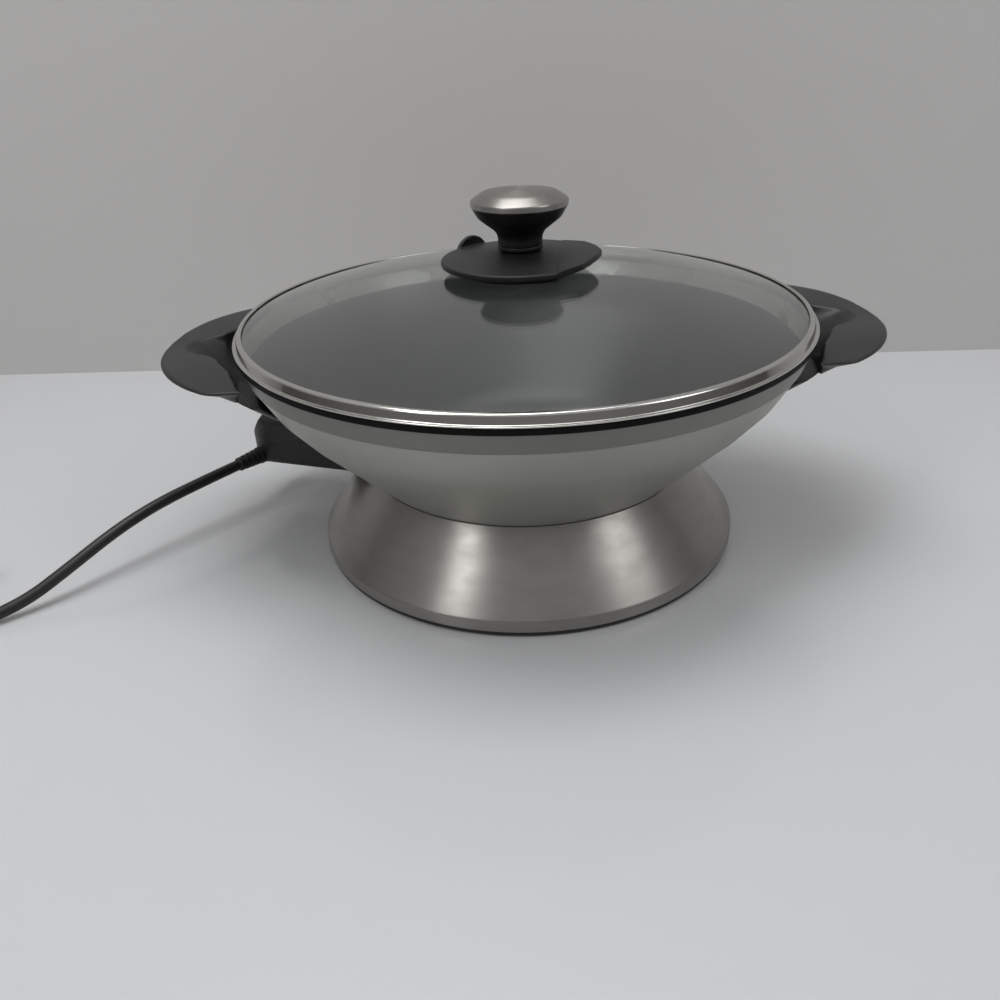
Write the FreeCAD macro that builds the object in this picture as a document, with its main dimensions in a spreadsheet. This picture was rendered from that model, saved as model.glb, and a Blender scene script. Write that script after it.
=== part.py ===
import FreeCAD, Part

# Electric wok: a cast pan on a steel-skirted base, a domed glass lid that lifts off,
# two moulded handles and a plug-in heat control with its cord.
# Millimetres. The origin is on the table under the middle of the pan, +Z is up and
# +X runs from the middle to one handle. What belongs to the heat control is drawn
# along +X too, and then turned about Z to the side that the control plugs in from.

import math
import os
import re

import Sketcher
from FreeCAD import Placement, Rotation, Vector

# ---------------------------------------------------------------- driving sizes

SIZES = {
    # pan
    "rim_radius": (178, "outside of the pan's lip"),
    "rim_height": (148, "top of the pan's lip above the table"),
    "lip_height": (3.6, "height of the plain band round the lip"),
    "lip_overhang": (0.8, "how far the lip stands proud of the wall"),
    "pan_wall": (3.5, "thickness of the cast wall"),
    "floor_thickness": (8, "thickness of the cast floor"),
    "wall_run": (31, "how far the lip stands out from the top of the slope"),
    "slope_run": (42, "run of the slope above the base skirt, which rises as much"),
    "seat_height": (54, "height where the base skirt meets the pan"),
    "bottom_bend": (55, "bend between the flat bottom and the slope"),
    "wall_bend": (129, "bend of the upper wall"),
    "cut_margin": (1, "how far a cutting tool runs past what it cuts"),
    "seat_gap": (0.3, "gap between pieces that only rest on each other"),
    "fit_gap": (0.1, "gap round a piece that fits in a hole"),
    # castings on the pan
    "boss_radius": (12, "cast boss that holds the locking stud"),
    "boss_drop": (5.9, "how far the boss stands below the flat bottom"),
    "lug_radius": (5, "cast lugs that the handles are screwed to"),
    "lug_spread": (28, "distance of a lug from the middle of its handle"),
    "lug_rise": (14, "height of the lugs above the top of the slope"),
    "lug_length": (16, "how far the lugs stand out from the top of the slope"),
    # heating element
    "element_radius": (3.7, "radius of the heating element's tube"),
    "element_ring": (54, "radius of the element's ring"),
    "element_turn": (10, "bend where the ring turns out to the terminals"),
    "terminal_spread": (11, "distance of a terminal from the socket's middle"),
    "terminal_rise": (0.1, "height of the element's middle above the flat bottom"),
    "element_inset": (17, "how far inside the seat the element's tube ends"),
    "pin_radius": (2.4, "radius of a terminal pin"),
    "pin_root": (8, "length of a pin inside the tube"),
    "pin_length": (15, "length of a pin outside the tube"),
    "bush_radius": (4, "radius of the ceramic bush round a pin"),
    # socket for the heat control
    "socket_azimuth": (160, "direction in which the heat control plugs in"),
    "shroud_width": (40, "width of the socket's shroud"),
    "shroud_below": (9.5, "depth of the shroud's underside below the terminals"),
    "shroud_above": (10, "height of the shroud's top above the terminals"),
    "shroud_wall": (3, "thickness of the shroud's walls"),
    "shroud_depth": (16, "length of the shroud"),
    "ridge_length": (42, "length of the cast ridge round the sensing rod"),
    "ridge_width": (13, "width of the cast ridge"),
    "ridge_below": (9, "depth of the ridge's underside below the terminals"),
    # base
    "base_flare": (34.8, "how far the skirt's foot stands out from its top"),
    "skirt_steel": (0.9, "thickness of the steel skirt"),
    "skirt_bend": (7, "bend between the skirt's slope and its foot"),
    "skirt_knee_inset": (1.8, "how far inside the foot the skirt's slope ends"),
    "skirt_knee_height": (13, "height where the slope ends"),
    "skirt_foot_height": (9, "height where the upright foot starts"),
    "lip_ring_height": (4, "top of the black ring under the skirt"),
    "frame_clearance": (1.5, "height of the frame's underside above the table"),
    "frame_thickness": (3, "thickness of the frame's raised middle"),
    "middle_inset": (5, "how far inside the seat the frame's middle and shield end"),
    "foot_band": (17.8, "width of the frame's ring for the feet"),
    "frame_ring_top": (8, "top of the frame's ring for the feet"),
    "frame_hole": (14, "radius of the hole for the locking stud"),
    "hub_gap": (6, "distance of the ring that carries the pan from the ridge"),
    "rib_thickness": (4, "thickness of the frame's round ribs"),
    "shield_rib_inset": (28, "distance of the rib under the shield from its edge"),
    "shield_rib_height": (3.2, "height of the rib under the heat shield"),
    "notch_width": (50, "width of the skirt's opening for the heat control"),
    "notch_below": (11, "depth of the opening's lower edge below the terminals"),
    "foot_radius": (7, "radius of a rubber foot"),
    "foot_height": (3, "height of a rubber foot"),
    "foot_inset": (10.3, "distance of a foot's middle from the skirt's outside"),
    "screw_radius": (1.4, "radius of a small screw's shank"),
    "screw_head": (2.8, "radius of a small screw's head"),
    "screw_head_height": (1.6, "height of a small screw's head"),
    "foot_screw_length": (5, "length of a foot screw's shank"),
    "shield_gap": (1.9, "gap between the heat shield and the shroud"),
    "shield_steel": (0.8, "thickness of the heat shield"),
    "shield_rim": (2.6, "height of the heat shield's turned-up rim"),
    "shield_screw_length": (5.5, "length of a heat shield screw's shank"),
    # latch between base and pan
    "stud_radius": (5, "radius of the locking stud"),
    "stud_head_length": (18, "length of the stud's cross bar"),
    "stud_head_width": (8, "width of the stud's cross bar"),
    "stud_head_height": (4, "height of the stud's cross bar"),
    "stud_depth": (6, "how deep the stud is screwed into its boss"),
    "lever_thickness": (4, "thickness of the release lever"),
    "lever_hub": (20, "radius of the release lever's hub"),
    "lever_reach": (84, "distance of the lever's grip from the axis"),
    "lever_width": (16, "width of the release lever's arm"),
    "lever_grip": (10, "radius of the lever's round grip"),
    "lever_azimuth": (240, "direction of the lever's arm when locked"),
    "lever_travel": (60, "angle from locked to released"),
    # handles
    "handle_depth": (42.5, "how far a handle reaches beyond the pan's lip"),
    "handle_curve": (97, "curve of a handle's outer edge"),
    "handle_half_length": (82.5, "half the length of a handle"),
    "handle_corner": (11, "rounding of a handle's ends seen from above"),
    "brim_drop": (17, "depth of the underside's outer edge below the lip"),
    "root_drop": (6, "depth of a handle's foot below the lugs"),
    "root_inset": (10, "how far inside the lip the underside starts"),
    "handle_root_half": (50, "half the length of the foot against the pan"),
    "pocket_depth": (30, "depth of the finger space's floor below the lip"),
    "handle_gap": (4, "gap between a handle's ends and the pan's lip"),
    "finger_inset": (31, "distance of the finger space's middle inside the lip"),
    "finger_root": (36, "radius of the finger space at its floor"),
    "finger_mouth": (55, "radius of the finger space at its mouth"),
    "crest_drop": (7.5, "depth of a handle's two crests below the lip"),
    "crest_dip": (6, "dip of the top edge between its crests"),
    "crest_fall": (13.5, "fall of the top edge from a crest to its end"),
    "crest_spread": (38, "distance of a crest from the middle"),
    "handle_screw": (1.8, "radius of a handle screw's shank"),
    "handle_screw_head": (3.4, "radius of a handle screw's head"),
    "handle_foot": (6, "thickness of a handle under its screws' heads"),
    # lid
    "glass_thickness": (4, "thickness of the glass"),
    "glass_rise": (22, "rise of the dome from its edge to its middle"),
    "glass_hole": (5, "radius of the hole in the middle of the glass"),
    "lid_overhang": (0.5, "how far the lid's steel rim stands out past the lip"),
    "rim_steel": (0.8, "thickness of the lid's steel rim"),
    "glass_side_gap": (1.1, "gap between the glass and the rim's wall"),
    "shelf_drop": (2.6, "height of the rim's shelf above its hem"),
    "lid_lip": (6.5, "width of the rim's lip over the glass"),
    "skirt_play": (1.1, "play of the rim's skirt inside the pan"),
    "skirt_depth": (7.4, "depth of the rim's skirt below its shelf"),
    "vent_hole": (3, "radius of a steam hole in the glass"),
    "vent_ring": (34, "radius of the circle of steam holes"),
    "vent_azimuth": (75, "direction of the middle steam hole"),
    "vent_step": (14, "angle between two steam holes"),
    # steam collar
    "collar_radius": (48, "radius of the steam collar"),
    "collar_edge": (2.4, "thickness of the collar's edge"),
    "collar_lift": (2.4, "height of the collar's underside above the apex"),
    "collar_hub": (14, "radius of the collar's hub"),
    "collar_rise": (4.4, "rise of the collar's cone to its hub"),
    "washer_height": (1, "thickness of the washers on the glass"),
    "washer_radius": (11, "radius of the washers on the glass"),
    "beak_reach": (55, "how far out the collar's beak reaches"),
    "beak_azimuth": (8, "direction of the beak's tip"),
    "beak_half_angle": (36, "half the angle that the beak covers"),
    "beak_root": (33, "radius where the beak starts to lift"),
    "beak_rise": (2, "height on the cone where the beak starts"),
    "beak_lift": (3.2, "how far the beak stands above the collar's edge"),
    "beak_curve": (52.8, "curve of the beak's two front edges"),
    "tab_azimuth": (135, "direction of the thumb tab"),
    "tab_radius": (9.5, "radius of the half-round thumb tab"),
    "tab_place": (43, "distance of the thumb tab from the axis"),
    "tab_thickness": (3.2, "thickness of the thumb tab"),
    "tab_rise": (5.6, "height of the thumb tab's centre above the collar's underside"),
    "tab_foot": (6.6, "radius of the thumb tab's round foot"),
    "seal_inner": (29, "inner radius of the seal over the steam holes"),
    "seal_outer": (39.5, "outer radius of the seal over the steam holes"),
    "turn_gap": (0.1, "running gap round a turning piece"),
    # knob
    "knob_stem": (6.9, "radius of the knob's stem inside the collar"),
    "knob_foot": (12, "radius of the knob's foot above the collar"),
    "knob_foot_height": (1.8, "height of the knob's foot"),
    "ring_radius": (13.9, "radius of the steel ring at the knob's neck"),
    "ring_height": (3, "height of the steel ring"),
    "neck_radius": (10, "radius of the knob's neck inside the steel ring"),
    "bowl_foot": (13.6, "radius of the bowl just above the steel ring"),
    "bowl_height": (22.4, "height of the knob's bowl"),
    "bowl_straight": (3.4, "height of the bowl's straight foot"),
    "bowl_radius": (29, "radius of the knob's bowl at its brim"),
    "bowl_bend": (26, "bend of the knob's bowl"),
    "cap_radius": (29.5, "radius of the steel cap"),
    "cap_band": (3, "height of the cap's upright band"),
    "cap_flat": (21, "radius of the cap's flat top"),
    "cap_rise": (5.4, "rise of the cap's bevel"),
    "cap_crown": (0.8, "rise of the cap's flat top to its middle"),
    "cap_steel": (1.2, "thickness of the steel cap"),
    "knob_screw": (2.4, "radius of the knob screw's shank"),
    "knob_screw_head": (5.2, "radius of the knob screw's head"),
    "knob_screw_head_height": (2.6, "height of the knob screw's head"),
    "knob_screw_depth": (14, "how deep the screw reaches into the bowl"),
    # heat control
    "control_gap": (8, "distance of the heat control's housing from the pan's seat"),
    "control_length": (95, "length of the housing"),
    "control_height": (41.5, "height of the housing"),
    "control_drop": (7, "depth of the housing's underside below the terminals"),
    "control_width": (44, "width of the housing"),
    "front_slope": (16, "length of the sloping front of the housing"),
    "rear_slope": (18, "length of the sloping rear of the housing"),
    "rear_curve": (14, "rounding of the housing's rear, seen from the side"),
    "corner_curve": (18, "rounding of the rear corners, seen from above"),
    "top_curve": (10, "rounding of the long upper edges"),
    "bottom_curve": (6, "rounding of the long lower edges"),
    "control_wall": (3, "thickness of the housing's walls"),
    "front_wall": (9, "thickness of the housing's front block"),
    "cavity_width": (30, "width of the space inside"),
    "parting_rise": (23, "height of the parting line's pivot in the housing"),
    "parting_inset": (53, "distance of the parting line's pivot from the front"),
    "parting_angle": (20, "slope of the parting line"),
    "post_radius": (4.5, "radius of the screw posts in the housing"),
    "post_inset": (71, "distance of the screw posts from the front"),
    "post_spread": (9.5, "distance of a screw post from the middle"),
    "control_screw_length": (22, "length of a housing screw's shank"),
    "nose_width": (32, "width of the nose that plugs in"),
    "nose_length": (19, "length of the nose"),
    "nose_drop": (6, "depth of the nose's underside below the terminals"),
    "nose_height": (12.5, "height of the nose"),
    "nose_curve": (3, "rounding of the nose's long edges"),
    "rod_radius": (3.5, "radius of the sensing rod"),
    "rod_drop": (2, "depth of the sensing rod below the terminals"),
    "rod_length": (61, "length of the sensing rod outside the housing"),
    "rod_root": (6, "length of the sensing rod inside the housing"),
    "contact_wall": (0.8, "thickness of a contact sleeve"),
    "contact_length": (18, "length of a contact sleeve outside the housing"),
    "contact_root": (8, "length of a contact sleeve inside the housing"),
    "dial_inset": (46, "distance of the dial's axis from the housing's front"),
    "dial_radius": (17.5, "radius of the dial"),
    "dial_height": (14, "height of the dial"),
    "dial_seat": (18.5, "radius of the raised seat under the dial"),
    "dial_seat_height": (0.8, "height of the seat above the housing"),
    "dial_draft": (1.5, "how much the dial narrows to its top"),
    "dial_groove": (0.7, "depth of a finger groove in the dial's side"),
    "dial_shaft": (3, "radius of the dial's shaft"),
    "shaft_flat": (0.8, "depth of the flat on the dial's shaft"),
    "shaft_in_dial": (10, "how deep the shaft reaches into the dial"),
    "switch_length": (34, "length of the thermostat switch"),
    "switch_width": (24, "width of the thermostat switch"),
    "switch_height": (18, "height of the thermostat switch"),
    "lens_inset": (71, "distance of the indicator lens from the housing's front"),
    "lens_radius": (3.5, "radius of the indicator lens"),
    "lens_depth": (4, "depth of the indicator lens in the housing"),
    # cord
    "cord_radius": (3.8, "radius of the cord"),
    "relief_azimuth": (70, "direction of the cord against the housing"),
    "relief_inset": (11.6, "distance of the strain relief's root from the rear"),
    "relief_side": (14.5, "place of the strain relief across the housing"),
    "relief_rise": (6.4, "height of the strain relief in the housing"),
    "relief_root": (6.3, "radius of the strain relief's root"),
    "relief_tip": (4.9, "radius of the strain relief's end"),
    "relief_length": (26.5, "length of the strain relief"),
    "coil_radius": (42, "radius at the middle of the coil's turns"),
    "coil_height": (14, "height of the coil's two layers"),
    "tie_width": (9, "width of the tie round the coil"),
    "tie_thickness": (1.2, "thickness of the tie round the coil"),
    "tie_azimuth": (30, "direction of the tie from the coil's middle"),
    "plug_length": (34, "length of the plug's grip"),
    "plug_width": (24, "width of the plug at its face"),
    "plug_height": (18, "height of the plug"),
    "plug_rear": (11, "width of the plug at the cord"),
    "plug_neck": (12, "length of the plug's narrow end"),
    "plug_taper": (8.4, "length over which the plug widens"),
    "plug_face_gap": (0.8, "gap between the tilted end of the cord and the plug"),
    "blade_width": (6.3, "width of a plug blade"),
    "blade_thickness": (1.5, "thickness of a plug blade"),
    "blade_length": (17, "length of a plug blade"),
    "blade_spread": (6.35, "distance of a blade from the plug's middle"),
}

# What follows from the driving sizes, as formulas.
DERIVED = {
    # pan
    "knee_radius": "rim_radius - wall_run",
    "knee_height": "seat_height + slope_run",
    "seat_radius": "knee_radius - slope_run",
    "bottom_height": "seat_height - bottom_bend * (1 - cos(45))",
    "bottom_radius": "seat_radius - bottom_bend * sin(45)",
    "lip_bottom": "rim_height - lip_height",
    "wall_radius": "rim_radius - lip_overhang",
    "mouth_radius": "wall_radius - pan_wall",
    "floor_height": "bottom_height + floor_thickness",
    "floor_radius": "bottom_radius + sqrt((bottom_bend - pan_wall)^2"
                    " - (bottom_bend - floor_thickness)^2)",
    "boss_bottom": "bottom_height - boss_drop",
    "lug_height": "knee_height + lug_rise",
    "lug_reach": "knee_radius + lug_length",
    # heating element and socket
    "terminal_height": "bottom_height + terminal_rise",
    "element_end": "seat_radius - element_inset",
    "pin_start": "element_end - pin_root",
    "pin_end": "element_end + pin_length",
    "shroud_bottom": "terminal_height - shroud_below",
    "shroud_top": "terminal_height + shroud_above",
    "shroud_mouth": "element_end + shroud_depth",
    "ridge_start": "element_end - ridge_length",
    "ridge_bottom": "terminal_height - ridge_below",
    # base
    "base_radius": "seat_radius + base_flare",
    "skirt_knee_radius": "base_radius - skirt_knee_inset",
    "skirt_top_radius": "seat_radius + seat_gap * sqrt(2)",
    "skirt_run": "skirt_knee_radius - skirt_top_radius",
    "skirt_fall": "seat_height - skirt_knee_height",
    "skirt_out": "skirt_steel * skirt_fall / sqrt(skirt_run^2 + skirt_fall^2)",
    "skirt_up": "skirt_steel * skirt_run / sqrt(skirt_run^2 + skirt_fall^2)",
    "frame_edge": "base_radius - skirt_steel - seat_gap",
    "shield_height": "shroud_bottom - shield_rim - shield_steel - shield_gap",
    "frame_top": "shield_height - shield_rib_height",
    "frame_floor": "frame_top - frame_thickness",
    "frame_middle_radius": "seat_radius - middle_inset",
    "frame_ring_radius": "base_radius - foot_band",
    "foot_ring": "base_radius - foot_inset",
    "hub_radius": "ridge_start - hub_gap",
    "shield_radius": "frame_middle_radius",
    "shield_rib_radius": "shield_radius - shield_rib_inset",
    "notch_bottom": "terminal_height - notch_below",
    # latch
    "lever_top": "frame_floor - seat_gap",
    "lever_bottom": "lever_top - lever_thickness",
    "stud_head_top": "lever_bottom - seat_gap",
    # handles
    "handle_reach": "rim_radius + handle_depth",
    "handle_brim_height": "rim_height - brim_drop",
    "handle_root_height": "lug_height - root_drop",
    "handle_root_reach": "rim_radius - root_inset",
    "handle_pocket_height": "rim_height - pocket_depth",
    "handle_screw_start": "lug_reach + handle_foot",
    "finger_centre": "rim_radius - finger_inset",
    "crest_top": "rim_height - crest_drop",
    "crest_middle": "crest_top - crest_dip",
    "crest_end": "crest_top - crest_fall",
    # lid
    "lid_radius": "rim_radius + lid_overhang",
    "skirt_radius": "mouth_radius - skirt_play",
    "hem_height": "rim_height + seat_gap",
    "shelf_bottom": "hem_height + shelf_drop",
    "glass_bottom": "shelf_bottom + rim_steel + seat_gap",
    "glass_radius": "lid_radius - rim_steel - glass_side_gap",
    "glass_top": "glass_bottom + glass_thickness",
    "apex": "glass_top + glass_rise",
    "dome": "(glass_radius^2 + glass_rise^2) / (2 * glass_rise)",
    "lip_radius": "lid_radius - lid_lip",
    "lip_height_inside": "apex + seat_gap - dome + sqrt(dome^2 - lip_radius^2)",
    "lip_height_outside": "glass_top + seat_gap",
    # steam collar and knob
    "collar_hub_bottom": "apex + washer_height + seat_gap",
    "collar_bottom": "apex + collar_lift",
    "collar_top": "collar_bottom + collar_edge + collar_rise",
    "tab_height": "collar_bottom + tab_rise",
    "knob_bottom": "apex + washer_height",
    "knob_foot_bottom": "collar_top + seat_gap",
    "ring_bottom": "knob_foot_bottom + knob_foot_height",
    "ring_top": "ring_bottom + ring_height",
    "brim_height": "ring_top + bowl_height",
    "cap_bottom": "brim_height + seat_gap",
    "cap_shoulder": "cap_bottom + cap_band",
    "cap_top": "cap_shoulder + cap_rise",
    "seal_bottom": "apex - dome + sqrt(dome^2 - seal_inner^2) + seat_gap",
    # heat control
    "control_front": "seat_radius + control_gap",
    "control_rear": "control_front + control_length",
    "control_bottom": "terminal_height - control_drop",
    "control_top": "control_bottom + control_height",
    "cavity_front": "control_front + front_wall",
    "parting_height": "control_bottom + parting_rise",
    "parting_place": "control_front + parting_inset",
    "post_place": "control_front + post_inset",
    "nose_start": "control_front - nose_length",
    "nose_bottom": "terminal_height - nose_drop",
    "rod_height": "terminal_height - rod_drop",
    "rod_start": "control_front - rod_length",
    "rod_end": "control_front + rod_root",
    "contact_start": "control_front - contact_length",
    "contact_end": "control_front + contact_root",
    "dial_place": "control_front + dial_inset",
    "lens_place": "control_front + lens_inset",
    "relief_place": "control_rear - relief_inset",
    "relief_height": "control_bottom + relief_rise",
    "dial_bottom": "control_top + dial_seat_height + seat_gap",
    "switch_bottom": "control_bottom + control_wall",
    "switch_top": "switch_bottom + switch_height",
    "contact_bore": "pin_radius + fit_gap",
    "contact_radius": "contact_bore + contact_wall",
}

FUNCTIONS = ("sqrt", "sin", "cos", "tan", "abs", "min", "max")

doc = FreeCAD.newDocument("electric_wok")
sheet = doc.addObject("Spreadsheet::Sheet", "sizes")
for row, (alias, (number, meaning)) in enumerate(SIZES.items(), start=1):
    sheet.set("A%d" % row, alias)
    sheet.set("B%d" % row, str(number))
    sheet.set("C%d" % row, meaning)
    sheet.setAlias("B%d" % row, alias)
doc.recompute()

NODES = []


# ---------------------------------------------------------------- formulas

def written_out(formula):
    """The formula with derived sizes spelled out and each alias found on the sheet."""
    def replace(match):
        word = match.group()
        if word in DERIVED:
            return "(" + written_out(DERIVED[word]) + ")"
        return word if word in FUNCTIONS else "sizes." + word
    return re.sub(r"[a-z][a-z_]*", replace, str(formula))


def size(formula):
    """The number that the formula gives with the sheet's present sizes."""
    return float(sheet.evalExpression(written_out(formula)))


def bind(thing, prop, formula):
    """Tie one property of an object to the sheet."""
    thing.setExpression(prop, written_out(formula))


# ---------------------------------------------------------------- building kit

def node(name, thing):
    """Hand the object in as the sub-part of this name."""
    thing.Label = name
    NODES.append(thing)
    return thing


def origin_plane(body, role):
    """One of a body's own origin planes or axes."""
    return next(part for part in body.Origin.OriginFeatures if part.Role == role)


def arc_middle(start, end, radius):
    """The middle of an arc that bulges right of the way from start to end."""
    chord = end - start
    to_left = Vector(-chord.y, chord.x, 0).normalize() * (1 if radius > 0 else -1)
    middle = (start + end) * 0.5
    depth = math.sqrt(radius ** 2 - (chord.Length / 2) ** 2)
    return middle + to_left * (depth - abs(radius))


def pin_down(sketch, geometry, point, across, up):
    """Fix one end of an edge at (across, up) from the sketch's origin."""
    for kind, formula, axis in (("DistanceX", across, -2), ("DistanceY", up, -1)):
        if formula == "0":
            sketch.addConstraint(Sketcher.Constraint("PointOnObject", geometry, point, axis))
        else:
            index = sketch.addConstraint(
                Sketcher.Constraint(kind, -1, 1, geometry, point, size(formula)))
            bind(sketch, "Constraints[%d]" % index, formula)


def new_sketch(body, name, role, offset=None):
    """An empty sketch on an origin plane of its body, moved by the offset formulas."""
    sketch = body.newObject("Sketcher::SketchObject", name)
    sketch.AttachmentSupport = [(origin_plane(body, role), "")]
    sketch.MapMode = "FlatFace"
    for axis, formula in (offset or {}).items():
        bind(sketch, "AttachmentOffset.Base." + axis, formula)
    return sketch


def outline(body, name, role, corners, offset=None):
    """A closed sketch through the corners, each (across, up). A third value makes the
    edge to the next corner an arc of that radius: it bulges outwards on a loop that
    runs counter-clockwise, and inwards where the radius starts with a minus."""
    sketch = new_sketch(body, name, role, offset)
    places = [Vector(size(corner[0]), size(corner[1]), 0) for corner in corners]
    starts, ends = [], []
    for index, corner in enumerate(corners):
        start, end = places[index], places[(index + 1) % len(corners)]
        if len(corner) == 2:
            edge = sketch.addGeometry(Part.LineSegment(start, end))
            forward = True
        else:
            radius = size(corner[2])
            edge = sketch.addGeometry(Part.Arc(start, arc_middle(start, end, radius), end))
            forward = radius > 0
        starts.append((edge, 1 if forward else 2))
        ends.append((edge, 2 if forward else 1))
    for index, corner in enumerate(corners):
        sketch.addConstraint(Sketcher.Constraint("Coincident", *ends[index - 1], *starts[index]))
        pin_down(sketch, *starts[index], corner[0], corner[1])
        if len(corner) == 3:
            formula = corner[2].lstrip("-")
            bend = sketch.addConstraint(
                Sketcher.Constraint("Radius", starts[index][0], size(formula)))
            bind(sketch, "Constraints[%d]" % bend, formula)
    return sketch


def new_body(name):
    body = doc.addObject("PartDesign::Body", name)
    body.AllowCompound = True
    return body


def revolve(body, name, sketch, axis="V_Axis"):
    """Turn a sketch once round one of its own axes."""
    turn = body.newObject("PartDesign::Revolution", name)
    turn.Profile = sketch
    turn.ReferenceAxis = (sketch, [axis])
    turn.Angle = 360
    return turn


def lathe(name, corners):
    """A body turned about Z from its section (radius, height)."""
    body = new_body(name)
    revolve(body, name + "_turn", outline(body, name + "_section", "XZ_Plane", corners))
    return body


def ring_of(name, corners, circle, count):
    """Equal turned pieces, side by side on a circle about Z."""
    body = new_body(name)
    sketch = outline(body, name + "_section", "XZ_Plane", corners, {"x": circle})
    turn = revolve(body, name + "_turn", sketch)
    doc.recompute()
    ring = body.newObject("PartDesign::PolarPattern", name + "_ring")
    ring.Originals = [turn]
    ring.Axis = (origin_plane(body, "Z_Axis"), [""])
    ring.Angle = 360
    ring.Occurrences = count
    body.Tip = ring
    return body


def pad(name, role, corners, length, offset=None, both_ways=False):
    """A body raised from an outline on an origin plane."""
    body = new_body(name)
    raised = body.newObject("PartDesign::Pad", name + "_pad")
    raised.Profile = outline(body, name + "_outline", role, corners, offset)
    raised.Midplane = both_ways
    bind(raised, "Length", length)
    return body


def place(thing, x="0", y="0", z="0", turn=None, axis=Vector(0, 0, 1)):
    """Put an object where the formulas say, turned by an angle about an axis."""
    if turn is not None:
        thing.Placement = Placement(Vector(), Rotation(axis, 1))
        bind(thing, "Placement.Rotation.Angle", turn)
    for letter, formula in (("x", x), ("y", y), ("z", z)):
        bind(thing, "Placement.Base." + letter, formula)
    return thing


def box(name, x, y, z, length, width, height):
    """A block from its lowest corner."""
    block = doc.addObject("Part::Box", name)
    for prop, formula in (("Length", length), ("Width", width), ("Height", height)):
        bind(block, prop, formula)
    return place(block, x, y, z)


def cylinder(name, radius, height, x="0", y="0", z="0"):
    """An upright round bar from the middle of its lower face."""
    bar = doc.addObject("Part::Cylinder", name)
    bind(bar, "Radius", radius)
    bind(bar, "Height", height)
    return place(bar, x, y, z)


def bar_along(name, radius, start, end, y, z):
    """A round bar that lies along X from start to end."""
    bar = doc.addObject("Part::Cylinder", name)
    bind(bar, "Radius", radius)
    bind(bar, "Height", "%s - (%s)" % (end, start))
    return place(bar, start, y, z, turn="90", axis=Vector(0, 1, 0))


def fuse(name, *things):
    whole = doc.addObject("Part::MultiFuse", name)
    whole.Shapes = list(things)
    return whole


def common(name, *things):
    shared = doc.addObject("Part::MultiCommon", name)
    shared.Shapes = list(things)
    return shared


def group(name, *things):
    """Separate solids under one name."""
    together = doc.addObject("Part::Compound", name)
    together.Links = list(things)
    return together


def cut(name, base, *tools):
    left = doc.addObject("Part::Cut", name)
    left.Base = base
    left.Tool = tools[0] if len(tools) == 1 else fuse(name + "_tools", *tools)
    return left


def turned(thing, angle="socket_azimuth"):
    """The object turned about Z, by default to the side of the socket."""
    return place(thing, turn=angle)


def feature(name, shape):
    """A shape made with Part's own functions."""
    made = doc.addObject("Part::Feature", name)
    made.Shape = shape
    made.Placement = Placement()
    return made


# ---------------------------------------------------------------- pan

def pan_outside(name, gap):
    """The pan's outer form, filled up to its lip and grown by a gap."""
    return lathe(name, [
        ("0", f"bottom_height - {gap}"),
        ("bottom_radius", f"bottom_height - {gap}", f"bottom_bend + {gap}"),
        (f"seat_radius + {gap} * sin(45)", f"seat_height - {gap} * cos(45)"),
        (f"knee_radius + {gap} * sin(45)", f"knee_height - {gap} * cos(45)",
         f"wall_bend + {gap}"),
        (f"wall_radius + {gap}", "lip_bottom"),
        (f"rim_radius + {gap}", "lip_bottom"),
        (f"rim_radius + {gap}", "rim_height"),
        ("0", "rim_height"),
    ])


def pan_inside():
    """The space inside the pan, as a cutting tool."""
    return lathe("pan_inside", [
        ("0", "floor_height"),
        ("floor_radius", "floor_height", "bottom_bend - pan_wall"),
        ("seat_radius - pan_wall * sin(45)", "seat_height + pan_wall * cos(45)"),
        ("knee_radius - pan_wall * sin(45)", "knee_height + pan_wall * cos(45)",
         "wall_bend - pan_wall"),
        ("mouth_radius", "lip_bottom"),
        ("mouth_radius", "rim_height + cut_margin"),
        ("0", "rim_height + cut_margin"),
    ])


def element_tube(name, gap):
    """A tube along the element's path: in from one terminal, round, and out again."""
    ring, bend, spread = size("element_ring"), size("element_turn"), size("terminal_spread")
    height, end = size("terminal_height"), size("element_end")
    bend_x = math.sqrt((ring + bend) ** 2 - (spread + bend) ** 2)
    bend_y = spread + bend
    touch = Vector(bend_x, bend_y, 0) * (ring / (ring + bend))
    aim = (touch - Vector(bend_x, bend_y, 0)) + Vector(0, -bend, 0)
    bend_middle = Vector(bend_x, bend_y, 0) + aim.normalize() * bend

    def at(x, y):
        return Vector(x, y, height)

    edges = [
        Part.LineSegment(at(end, spread), at(bend_x, spread)),
        Part.Arc(at(bend_x, spread), at(bend_middle.x, bend_middle.y), at(touch.x, touch.y)),
        Part.Arc(at(touch.x, touch.y), at(-ring, 0), at(touch.x, -touch.y)),
        Part.Arc(at(touch.x, -touch.y), at(bend_middle.x, -bend_middle.y), at(bend_x, -spread)),
        Part.LineSegment(at(bend_x, -spread), at(end, -spread)),
    ]
    path = Part.Wire([edge.toShape() for edge in edges])
    radius = size("element_radius") + gap
    section = Part.Wire(Part.makeCircle(radius, at(end, spread), Vector(1, 0, 0)))
    return feature(name, path.makePipeShell([section], True, False))


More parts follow.
